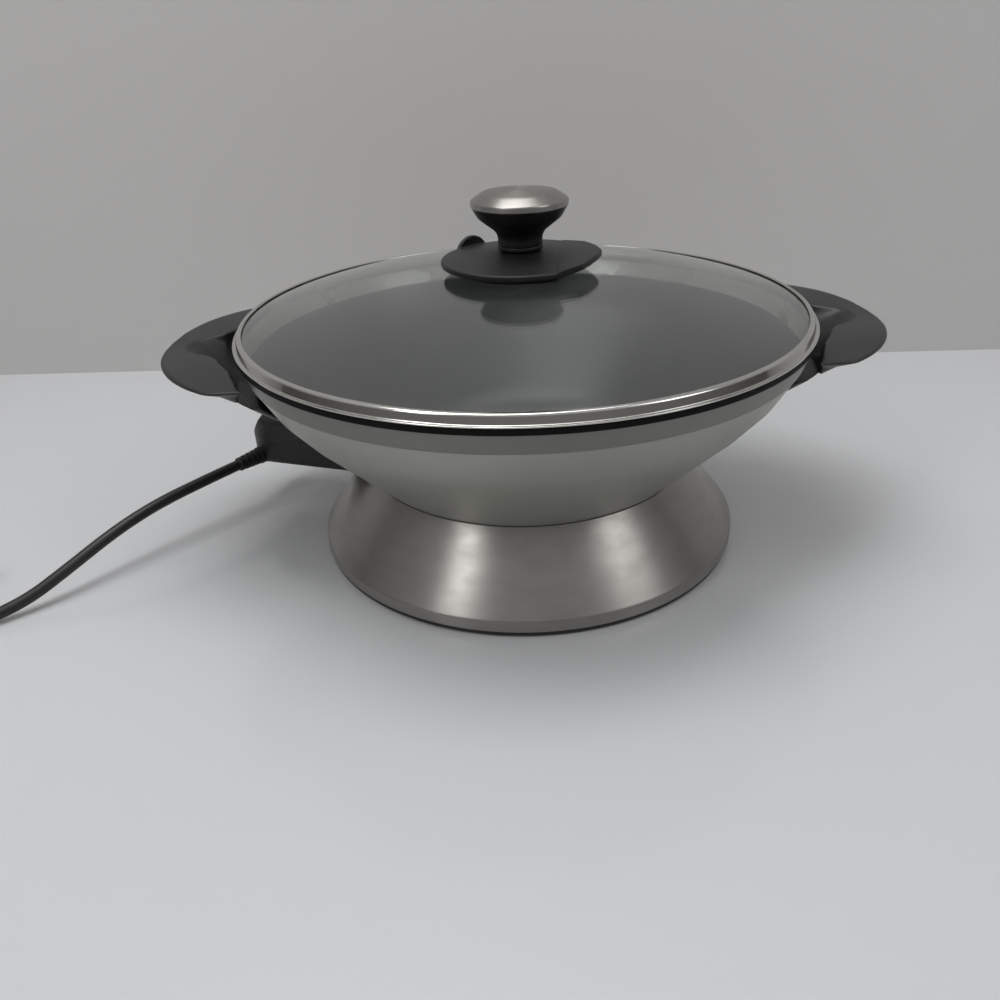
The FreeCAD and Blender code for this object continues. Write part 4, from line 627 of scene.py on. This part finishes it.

# %% [markdown]
# ## The pan
# A cast bowl: a flat bottom, a long slope and a wall that bends upright to the lip. Its
# section is one closed line. The outside is enamelled up to a faint step, with a rougher
# band above it, and the lip is black, painted darker and duller than its coating so that it
# also stands for the shadow in the gap under the lid's rim. Inside, a pale satin band runs
# round the top, and below it lies the dark coating.

# %% Pan
ENAMEL, COATING, LIP, SATIN, BAND = 0, 1, 2, 3, 4
pan = turned("pan", [
    (0, 37.9, 0, ENAMEL),
    (88.9, 37.9, 55),
    (163.8, 112.8, 122),
    (172.8, 132.4, 0),
    (173.3, 132.8, 0.3, BAND),
    (177.2, 144.4, 0.2, LIP),
    (178, 144.4, 0.3),
    (178, 148, 0.8),
    (173.7, 148, 0.6, SATIN),
    (173.7, 144.4, 0.5),
    (169.2, 132.6, 0.4, COATING),
    (164.2, 118.2, 110),
    (91.9, 45.9, 46),
    (0, 45.9, 0),
], looks=("pan_enamel", "nonstick", "lip_coating_and_gap_shade", "inner_band", "pan_band"))
stand_in(pan, "root", "cast_pan", "pan_body")

# %% [markdown]
# ### Bars that lie and pieces that join
# Small round things are made upright and then laid in their direction. Pieces of one body
# that belong together become one mesh.

# %% Laying and joining
def laid(thing, place, direction):
    """Turn a piece made along Z so that it points another way, and put it in place."""
    spin = Vector(direction).to_track_quat("Z", "Y").to_matrix().to_4x4()
    thing.data.transform(Matrix.Translation(mm(*place)) @ spin)
    return thing


def bar(name, radius, length, look, edge=0.6, steps=48):
    """A round bar that stands on the ground, with eased edges."""
    return turned(name, [(0, 0), (radius, 0, edge), (radius, length, edge), (0, length)],
                  steps, (look,))


def joined(name, pieces):
    """Put several pieces of one body together under one name."""
    shape = bmesh.new()
    for piece in pieces:
        shape.from_mesh(piece.data)
    mesh = bpy.data.meshes.new(name)
    shape.to_mesh(mesh)
    shape.free()
    for material in pieces[0].data.materials:
        mesh.materials.append(material)
    for piece in pieces:
        bpy.data.objects.remove(piece)
    return new_object(name, mesh)


print("laying and joining are ready")

# %% [markdown]
# ### Castings under the pan
# The pan also carries cast lugs for the handles, a boss for the locking stud and a ridge
# for the heat control's rod. They are small turned bars and a plain block.

# %% Castings
SOCKET = 160
LUG_SIDE, LUG_HEIGHT, LUG_END = 28, 110, 160


def lug(way, side):
    """A lug for a handle's screw; its root is slanted like the wall that it grows from."""
    thing = laid(bar("lug", 5, 8, "pan_enamel"), (156 * way, side * LUG_SIDE, LUG_HEIGHT),
                 (way, 0, 0))
    for point in thing.data.vertices:
        if abs(point.co.x) < LUG_END * MM:
            point.co.x += way * (point.co.z - LUG_HEIGHT * MM)
    return thing


castings = [lug(way, side) for way in (-1, 1) for side in (-1, 1)]
castings.append(laid(bar("boss", 12, 8, "pan_enamel"), (0, 0, 32), (0, 0, 1)))
ridge = block("ridge", (46, -6.5, 29), (88, 6.5, 40), SOCKET)
ridge.data.materials.append(LOOKS["pan_enamel"])
castings.append(ridge)
stand_in(joined("pan_castings", castings), "root", "cast_pan")

# %% [markdown]
# ## The lid's steel rim
# A strip of steel is rolled round the glass: its flange lies on the pan's lip, a short
# skirt under it keeps the lid centred, and a bead holds the glass and curls over its edge.

# %% Lid rim
rim = turned("lid_band", [
    (171.8, 143.5, 0.3),
    (172.6, 143.5, 0.3),
    (172.6, 148.3, 0.5),
    (178.5, 148.3, 0.35),
    (178.5, 149.1, 0.35),
    (176.7, 149.2, 0.5),
    (175.3, 154.3, 1.7),
    (172.5, 154.2, 0.35),
    (172.5, 153.37, 0.3),
    (174.9, 153.1, 0.6),
    (174.8, 149.1, 0.3),
    (171.8, 149.1, 0.7),
], steps=320, looks=("polished_steel",))
stand_in(rim, "lid", "brushed_steel", "lid_rim")

# %% [markdown]
# ## The glass
# The dome is part of a large sphere and equally thick all over. Its height at any
# distance from the axis comes from a circle, so the section is worked out by a loop. A
# hole in the middle takes the knob's screw and three small ones let steam out.

# %% Glass dome
APEX, DOME, THICK, EDGE = 178.0, 610.7, 3.2, 174.3
SCREW_HOLE, DOME_STEPS = 5, 22
VENT_RING, VENT_HOLE = 34, 3


def dome_height(radius):
    """The height of the glass's outside at a distance from the axis."""
    return APEX - DOME + math.sqrt(DOME ** 2 - radius ** 2)


sweep = [EDGE + (SCREW_HOLE - EDGE) * step / DOME_STEPS for step in range(DOME_STEPS + 1)]
under = [(radius, dome_height(radius) - THICK) for radius in reversed(sweep)]
over = [(radius, dome_height(radius)) for radius in sweep]
glass = turned("glass_dome", [under[0], *under[1:-1], (*under[-1], 1.1), (*over[0], 1.1),
                              *over[1:]], steps=256, looks=("lid_glass",))
for angle in (math.radians(61), math.radians(75), math.radians(89)):
    drill = bar("steam_drill", VENT_HOLE, 40, "lid_glass", edge=0, steps=40)
    spot = (VENT_RING * math.cos(angle), VENT_RING * math.sin(angle), 150)
    cut_away(glass, laid(drill, spot, (0, 0, 1)))
stand_in(glass, "lid", "lid_glass", "lid_glass")

# %% [markdown]
# ## The knob
# A black bowl on a short neck carries a cap pressed from brushed steel. The cap's upright
# band, its bevel and its slightly crowned top meet in soft bends, as pressed sheet does.

# %% Knob
bowl = turned("knob_bowl", [
    (2.5, 179.0), (6.9, 179.0, 0.2), (6.9, 189.1), (12, 189.1, 0.3), (12, 189.9, 0.3),
    (10, 189.9), (10, 192.3), (13.6, 192.3, 0.5), (13.6, 199.4, 8), (25.4, 208.4, 9),
    (29.0, 214.7, 0.6),
    (27.5, 214.7), (27.5, 216.6), (19.8, 221.9), (2.5, 221.9),
], steps=144, looks=("knob_moulding",))
stand_in(bowl, "lid", "knob_moulding", "knob_base")
cap = turned("knob_cap_steel", [
    (28.3, 215.0, 0.2), (29.4, 215.0, 0.35), (29.5, 218.3, 1.6), (22.6, 222.9, 7),
    (12, 223.9, 20), (0, 224.2), (0, 223.0), (20.2, 222.2), (28.3, 217.6),
], steps=144, looks=("brushed_steel",))
stand_in(cap, "lid", "brushed_steel", "knob_cap")
neck_ring = turned("neck_ring", [
    (10.1, 189.9), (13.9, 189.9, 0.6), (13.9, 192.2, 0.6), (10.1, 192.2),
], steps=96, looks=("dark_steel",))
stand_in(neck_ring, "lid", "brushed_steel", "knob_ring")

# %% [markdown]
# ## The base
# The skirt is one sheet of brushed steel: a sloping cone, a soft knee and a short upright
# foot. The heat control needs an opening in it, cut from the sheet's upper edge.

# %% Skirt
skirt = turned("steel_skirt", [
    (138.9, 4, 0.2), (139.8, 4, 0.25), (139.8, 11, 3.2), (105.5, 54, 0.25),
    (104.7, 53.4, 0.2), (138.9, 10.6, 2.6),
], steps=320, looks=("brushed_steel",))
cut_away(skirt, block("notch", (66, -25, 27), (150, 25, 60), SOCKET))
stand_in(skirt, "root", "brushed_steel", "base_skirt")

# %% [markdown]
# ## Soft mouldings
# Handles and the steam collar come out of a mould with every edge eased. Each is first
# put together with crisp edges from plain forms. Rebuilding its surface from small even
# cells then melts the forms into one skin, and relaxing that skin rounds every edge.

# %% Softening
def softened(thing, cell, rounds, look, share=0.6):
    """Rebuild a piece from even cells, ease its edges and give it its finish."""
    remesh = thing.modifiers.new("cells", "REMESH")
    remesh.mode = "VOXEL"
    remesh.voxel_size = cell * MM
    relax = thing.modifiers.new("relax", "SMOOTH")
    relax.factor = share
    relax.iterations = rounds
    baked(thing)
    thing.data.shade_smooth()
    thing.data.materials.clear()
    thing.data.materials.append(LOOKS[look])
    print(thing.name, "has", len(thing.data.polygons), "faces")
    return thing


print("softening is ready")

# %% [markdown]
# ## The handles
# A handle is a scoop: a slab that grows from a narrow root under the lip to a broad
# crescent, with a hollow for the fingers. It is made at the right side first. Its outline
# is a D with a bulging outer edge.

# %% Handle outline
CORNER = 12
ARC_STEPS, CORNER_STEPS = 16, 8


def handle_outline(reach, half_length, curve):
    """The D with rounded corners as points in X and Y; curve is the outer edge's radius."""
    centre = reach - curve
    corner_x = centre + math.sqrt((curve - CORNER) ** 2 - (half_length - CORNER) ** 2)
    tilt = math.atan2(half_length - CORNER, corner_x - centre)
    upper = [(centre + curve * math.cos(tilt * k / ARC_STEPS),
              curve * math.sin(tilt * k / ARC_STEPS)) for k in range(ARC_STEPS + 1)]
    for k in range(1, CORNER_STEPS + 1):
        angle = tilt + (math.pi / 2 - tilt) * k / CORNER_STEPS
        upper.append((corner_x + CORNER * math.cos(angle),
                      half_length - CORNER + CORNER * math.sin(angle)))
    upper.append((100, half_length))
    lower = [(x, -y) for x, y in reversed(upper[1:])]
    return lower + upper


print("a handle's outline has", len(handle_outline(226, 87, 106)), "points")

# %% [markdown]
# Five of these outlines, from the root to the top, are stacked and joined to the slab.
# Its top is trimmed by a cutter with a gently waving edge. That edge dips in the middle,
# where the fingers go in, and rises to a crest on each side.

# %% Handle slab
LEVELS = ((104, 168, 50, 90), (131, 214, 76, 90), (137, 226, 87, 106), (139.4, 225, 86.5, 105),
          (142, 221, 85, 102))
WAVE_MIDDLE, WAVE_SWING, CREST = 138.75, 0.75, 50
ABOVE = 170


def handle_slab(name):
    """The handle before anything is cut from it."""
    return stacked(name, [[mm(x, y, height) for x, y in handle_outline(reach, half_length, curve)]
                          for height, reach, half_length, curve in LEVELS])


def wave_cutter():
    """Everything above the handle's top edge."""
    across = [-95 + 190 * k / 38 for k in range(39)]
    edge = [(y, WAVE_MIDDLE + WAVE_SWING * math.cos(math.pi * (abs(y) - CREST) / CREST))
            for y in across]
    section = [*edge, (95, ABOVE), (-95, ABOVE)]
    return stacked("wave_cutter", [[mm(x, y, z) for y, z in section] for x in (90, 240)])


print("the slab has", len(LEVELS), "levels")

# %% [markdown]
# The hollow for the fingers is a valley that opens towards the pan: wide and deep at the
# rim, narrow and shallow at the outer edge. Beyond the root, a channel runs down between
# the handle and the pan.

# %% Hollow and channel
VALLEY = ((172, 58, 23), (182, 42, 22), (187, 31, 19.5), (194, 22, 14), (201, 17.5, 9),
          (208, 14, 4.5), (214, 10, 1.5), (219, 5, -1))
BRIM, BRIM_RISE, ROUNDNESS = 141, 1.5, 0.8


def valley_section(x, half_width, depth):
    """A half-round section of the valley; its depth counts from 1.5 below the brim."""
    bowl = []
    for k in range(25):
        angle = math.pi * k / 24
        bowl.append(mm(x, -half_width * math.cos(angle),
                       BRIM - (depth + BRIM_RISE) * math.sin(angle) ** ROUNDNESS))
    return [mm(x, -half_width, ABOVE), *bowl, mm(x, half_width, ABOVE)]


def channel(side):
    """The room between pan and handle beyond the root, on one side of it."""
    room = turned("channel", [(0, 90), (141.5, 90), (156, 104), (169, 118), (176.5, 130),
                              (182, 143), (182.5, ABOVE), (0, ABOVE)])
    low, high = sorted((side * 42, side * -240))
    return cut_away(room, block("root_side", (-240, low, 80), (240, high, 180)))


print("the hollow has", len(VALLEY), "sections")

# %% [markdown]
# Pan, lid rim, hollow, channels and screw holes are then cut from the slab one after the
# other. The room for the pan is the pan's outside, about 0.3 mm larger. The left handle
# is the same piece, turned round to the other side.

# %% Handles
RIM_ROOM, ROOM_FLOOR = 182, 118


def handle(name, way):
    """One softened handle, at the right side (1) or at the left (-1)."""
    thing = handle_slab(name)
    cut_away(thing, wave_cutter())
    cut_away(thing, turned("pan_room", [
        (0, 30), (89.1, 37.6, 55), (164.1, 112.6, 122), (173.1, 132.2), (178.3, 144.1),
        (178.3, ABOVE), (0, ABOVE)]))
    cut_away(thing, turned("rim_room", [(0, ROOM_FLOOR), (RIM_ROOM, ROOM_FLOOR),
                                        (RIM_ROOM, ABOVE), (0, ABOVE)]))
    cut_away(thing, stacked("valley", [valley_section(*row) for row in VALLEY]))
    for side in (-1, 1):
        cut_away(thing, channel(side))
        hole = bar("screw_hole", 3.7, 60, "handle_moulding", edge=0, steps=32)
        cut_away(thing, laid(hole, (174, side * LUG_SIDE, LUG_HEIGHT), (1, 0, 0)))
    if way < 0:
        turned_to(thing, 180)
    return softened(thing, 0.9, 4, "handle_moulding")


for side, way in (("right", 1), ("left", -1)):
    stand_in(handle("handle_%s_grip" % side, way), "root", "handle_moulding", "handle_" + side)

# %% [markdown]
# ## The steam collar
# The collar turns on the knob's stem. One side of its flat cone is bent up along a fold
# into a pointed beak, and a round tab on its edge is there for the thumb. Under it lies
# the seal that closes the steam holes. The cone comes first, cut off at the fold.

# %% Steam collar
UNDER, EDGE_TOP, HUB_TOP = 181.2, 184.6, 188.8
COLLAR, HUB, FOLD = 49, 14, 24
BEAK, TAB = -8, 130


def beyond_fold():
    """The side where the beak is, from the fold outwards."""
    return block("beyond_fold", (FOLD, -60, 170), (70, 60, 210), BEAK)


disc = cut_away(turned("collar_disc", [
    (7.1, 179.2), (HUB, 179.2, 0.4), (HUB, UNDER, 0.5), (COLLAR, UNDER, 0.6),
    (COLLAR, EDGE_TOP, 1.2), (HUB, HUB_TOP, 3), (7.1, HUB_TOP),
], 200), beyond_fold())

# %% [markdown]
# The beak is the rest of the same cone, tipped up by seven degrees about the fold and
# trimmed to a leaf's outline whose two edges meet in a soft point.

# %% Beak
TIP, LEAF_ANGLE, LEAF_BULGE, LIFT = 49.5, math.radians(38), 1.2, math.radians(7)

plate = turned("beak_plate", [(0, UNDER), (53, UNDER), (53, EDGE_TOP), (HUB, HUB_TOP, 3),
                              (0, HUB_TOP)], 200)
plate.data.transform(Matrix.Translation(mm(FOLD, 0, UNDER)) @ Matrix.Rotation(-LIFT, 4, "Y")
                     @ Matrix.Translation(mm(-FOLD, 0, -UNDER)))
shoulder, half_width = COLLAR * math.cos(LEAF_ANGLE), COLLAR * math.sin(LEAF_ANGLE)


def leaf(share):
    """A point of the beak's edge, from a shoulder (0) to the tip (1)."""
    bulge = LEAF_BULGE * math.sin(math.pi * share)
    length = math.hypot(TIP - shoulder, half_width)
    return (shoulder + (TIP - shoulder) * share + bulge * half_width / length,
            half_width * (1 - share) + bulge * (TIP - shoulder) / length)


upper = [(FOLD, 42.7)] + [leaf(k / 8) for k in range(9)]
outline = [(x, -y) for x, y in upper] + list(reversed(upper[:-1]))
combine(plate, prism("leaf", outline, 170, 210), "INTERSECT")
print("beak trimmed to", len(outline), "points")

# %% [markdown]
# The thumb tab is a round disc on edge, of which only the part above the collar's
# underside is kept. The three pieces are joined and softened into one.

# %% Tab and whole collar
thumb_tab = laid(bar("thumb_tab", 13, 3, "collar_moulding", steps=96), (45, 0, UNDER - 3),
                 (1, 0, 0))
cut_away(thumb_tab, block("below", (40, -20, 150), (52, 20, UNDER)))
steam_collar = joined("steam_collar", [disc, turned_to(plate, BEAK), turned_to(thumb_tab, TAB)])
stand_in(softened(steam_collar, 0.45, 2, "collar_moulding"), "collar", "handle_moulding",
         "vent_collar")

# %% [markdown]
# The seal is a ring of dull rubber between collar and glass. Under the lifted beak it is
# left out, so that this side lets the steam pass when it stands over the holes.

# %% Seal under the collar
seal = cut_away(turned("steam_seal", [
    (30, 177.4, 0.4), (38, 177.0, 0.4), (38, UNDER), (30, UNDER),
], 160, ("rubber",)), beyond_fold())
stand_in(seal, "collar", "rubber", "vent_seal")

# %% [markdown]
# ## The sleeve where the cord leaves
# The cord leaves the heat control through a sleeve whose ribs keep it from kinking. The
# sleeve tapers, so each rib is a little thinner than the one before. It is turned upright
# and then laid along the cord.

# %% Ribbed sleeve
SLEEVE_ROOT, HEADING = (-189.67, 53.4, 37.4), math.radians(230)
BORE, TAPER, GROOVE, GROOVE_WIDTH, RIB_PITCH = 3.9, 0.06, 0.9, 1.4, 4.4

ribs = [(BORE, 0), (6.3, 0, 0.4), (6.25, 8, 0.4)]
for start in (8, 12.4, 16.8, 21.2):
    thick = 6.2 - TAPER * start
    ribs += [(thick - GROOVE, start, 0.2), (thick - GROOVE, start + GROOVE_WIDTH, 0.2),
             (thick, start + GROOVE_WIDTH, 0.4), (thick, start + RIB_PITCH, 0.4)]
ribs += [(4.4, 25.6, 0.2), (4.2, 26.5, 0.3), (BORE, 26.5)]
sleeve = laid(turned("cord_sleeve", ribs, 64, ("cord_sheath",)), SLEEVE_ROOT,
              (math.cos(HEADING), math.sin(HEADING), 0))
stand_in(sleeve, "probe", "cord_sheath", "strain_relief")

# %% [markdown]
# ## The dial's numbers
# The dial carries ten plain numbers in a ring, as text that is made into one raised mesh.
# Where the dial lies is asked from its box.

# %% Dial marks
FIGURE_RING, FIGURE_SIZE, FIGURE_RISE = 11.2, 4.4, 0.08
BETWEEN_FIGURES, FIRST_FIGURE = 27, SOCKET + 135

low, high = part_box("dial")
dial_middle = (low + high) / 2


def figure(number):
    """A number on the dial, as a raised mesh with its top towards the dial's edge."""
    letters = bpy.data.curves.new("figure", "FONT")
    letters.body = str(number)
    letters.size, letters.extrude = FIGURE_SIZE * MM, FIGURE_RISE * MM
    letters.align_x = letters.align_y = "CENTER"
    text = new_object("figure", letters)
    shape = text.evaluated_get(bpy.context.evaluated_depsgraph_get())
    mesh = bpy.data.meshes.new_from_object(shape)
    bpy.data.objects.remove(text)
    angle = math.radians(FIRST_FIGURE - BETWEEN_FIGURES * number)
    out = mm(math.cos(angle), math.sin(angle), 0) * FIGURE_RING
    mesh.transform(Matrix.Translation((dial_middle.x + out.x, dial_middle.y + out.y, high.z))
                   @ Matrix.Rotation(angle - math.pi / 2, 4, "Z"))
    return new_object("figure", mesh)


marks = [figure(number) for number in range(1, 11)]
dial_marks = joined("dial_marks", marks)
dial_marks.data.materials.append(LOOKS["marks"])
stand_in(dial_marks, "dial", "dial_moulding")
print("dial has", len(marks), "numbers")

# %% [markdown]
# ## The cord
# A mains cord is round, smooth and fairly stiff. It falls to the table in one easy curve
# and ends in a tied coil beside its plug. The coil starts with one turn on the table,
# climbs on it for a second turn and comes down again at the end.

# %% Coil
COIL = (-0.402, -0.075)
TURNS, PER_TURN = 2.25, 20
OUTER, INNER, TOP, FLOOR, UPPER = 0.0461, 0.0385, 0.0423, 0.0038, 0.0104


def between(low, high, share):
    """A smooth passage from one number to another."""
    share = min(1.0, max(0.0, share))
    return low + (high - low) * share * share * (3 - 2 * share)


def coil_point(turns):
    """A point of the coil after so many turns, clockwise from its south side."""
    if turns < 1.0:
        radius, height = between(OUTER, INNER, turns / 0.2), FLOOR
    elif turns < 2.0:
        share = (turns - 1.0) / 0.25
        radius, height = between(INNER, TOP, share), between(FLOOR, UPPER, share)
    else:
        share = (turns - 2.0) / 0.25
        radius, height = between(TOP, OUTER, share * 1.5), between(UPPER, FLOOR, share * 1.5 - 0.5)
    angle = -math.pi / 2 - math.tau * turns
    return (COIL[0] + radius * math.cos(angle), COIL[1] + radius * math.sin(angle), height)


steps = int(TURNS * PER_TURN)
turns_of_coil = [coil_point(step * TURNS / steps) for step in range(1, steps)]
print("coil has", len(turns_of_coil), "points")

# %% [markdown]
# One spline holds the whole way: the stretch from the heat control, the coil and the end
# that runs to the plug. The frame's own cord, coil and sleeve give way to these pieces.

# %% Cord
LEAD = [(-0.2067, 0.0331, 0.0374), (-0.229, 0.0066, 0.0371), (-0.252, -0.019, 0.035),
        (-0.273, -0.043, 0.029), (-0.294, -0.066, 0.0189), (-0.317, -0.087, 0.008),
        (-0.345, -0.104, 0.0038), (-0.374, -0.117, 0.0038), (-0.402, -0.1208, 0.0038)]
TAIL = [(-0.4478, -0.075, 0.0038), (-0.4478, -0.05, 0.005), (-0.438, -0.03, 0.009)]

route = [*LEAD, *turns_of_coil, *TAIL]
curve = bpy.data.curves.new("mains_cord", "CURVE")
curve.dimensions = "3D"
curve.bevel_depth = 3.8 * MM
curve.bevel_resolution = 6
curve.resolution_u = 12
curve.use_fill_caps = True
spline = curve.splines.new("NURBS")
spline.points.add(len(route) - 1)
for point, place in zip(spline.points, route):
    point.co = (*place, 1)
spline.order_u = 3
spline.use_endpoint_u = True
curve.materials.append(LOOKS["cord_sheath"])
cord = new_object("mains_cord", curve)
stand_in(cord, "probe", "cord_sheath", "cord", "cord_coil")
print("cord has", len(route), "points")

# %% [markdown]
# ## The stage
# The wok stands on a pale table in front of a plain grey wall. Both are seen only from
# their front, so that they are not in the way when the wok is looked at from behind or
# from below.

# %% Table and wall
def stage_look(name, colour, gloss):
    """A plain material that is clear from behind."""
    tree, _ = new_material(name, Base_Color=colour, Roughness=gloss)
    clear = add(tree, "ShaderNodeBsdfTransparent")
    mix = add(tree, "ShaderNodeMixShader")
    geometry = add(tree, "ShaderNodeNewGeometry")
    wire(tree, geometry.outputs["Backfacing"], mix.inputs[0])
    wire(tree, tree.nodes["Principled BSDF"].outputs[0], mix.inputs[1])
    wire(tree, clear.outputs[0], mix.inputs[2])
    wire(tree, mix.outputs[0], tree.nodes["Material Output"].inputs["Surface"])


def sheet(name, corners, colour, gloss):
    """A flat piece of the stage between four corners in metres."""
    thing = mesh_piece(name, corners, [(0, 1, 2, 3)])
    stage_look(name, colour, gloss)
    thing.data.materials.append(LOOKS[name])
    return thing


table = sheet("table", [(-3, -3, 0), (3, -3, 0), (3, 3, 0), (-3, 3, 0)],
              (0.62, 0.63, 0.64), 0.16)
wall = sheet("wall", [(-3, 0.54, 0), (3, 0.12, 0), (3, 0.12, 2.5), (-3, 0.54, 2.5)],
             (0.62, 0.61, 0.6), 0.7)
print("stage set")

# %% [markdown]
# ## The light
# Plain soft studio light: one large lamp high on the left, one on the right, one above.

# %% Lamps
AIM = (0, 0, 0.1)


def lamp(name, place, power, width, height):
    """A soft rectangular lamp that points at the wok."""
    data = bpy.data.lights.new(name, "AREA")
    data.shape = "RECTANGLE"
    data.size, data.size_y = width, height
    data.energy = power
    thing = new_object(name, data)
    thing.location = place
    thing.rotation_euler = (Vector(AIM) - Vector(place)).to_track_quat("-Z", "Y").to_euler()


lamp("left_lamp", (-1.0, -1.0, 1.25), 4.2, 0.4, 0.9)
lamp("right_lamp", (1.3, -0.75, 1.3), 4.5, 0.7, 0.9)
lamp("top_lamp", (-0.15, 0.15, 1.6), 16, 1.3, 0.9)
print("three lamps")

# %% [markdown]
# ### The surround
# Steel and glass mirror what is round them. The surround is dark at the horizon and grows
# paler towards the top, which gives the metal its dark and light bands. Where the camera
# sees it directly, it is a plain grey.

# %% Surround
HORIZON, ZENITH, PLAIN = (0.065, 0.06, 0.055), (0.5, 0.5, 0.51), (0.42, 0.42, 0.42)
PALE_FROM = 0.75

world = bpy.data.worlds.new("surround")
bpy.context.scene.world = world
world.use_nodes = True
sky = world.node_tree
heading = add(sky, "ShaderNodeSeparateXYZ")
wire(sky, add(sky, "ShaderNodeTexCoord").outputs["Generated"], heading.inputs[0])
mirrored = blend(sky, spread(sky, heading.outputs[2], 0.0, PALE_FROM), HORIZON, ZENITH)
seen = add(sky, "ShaderNodeLightPath").outputs["Is Camera Ray"]
wire(sky, blend(sky, seen, mirrored, PLAIN), sky.nodes["Background"].inputs["Color"])
bpy.context.scene.view_settings.view_transform = "Standard"
print("surround ready")
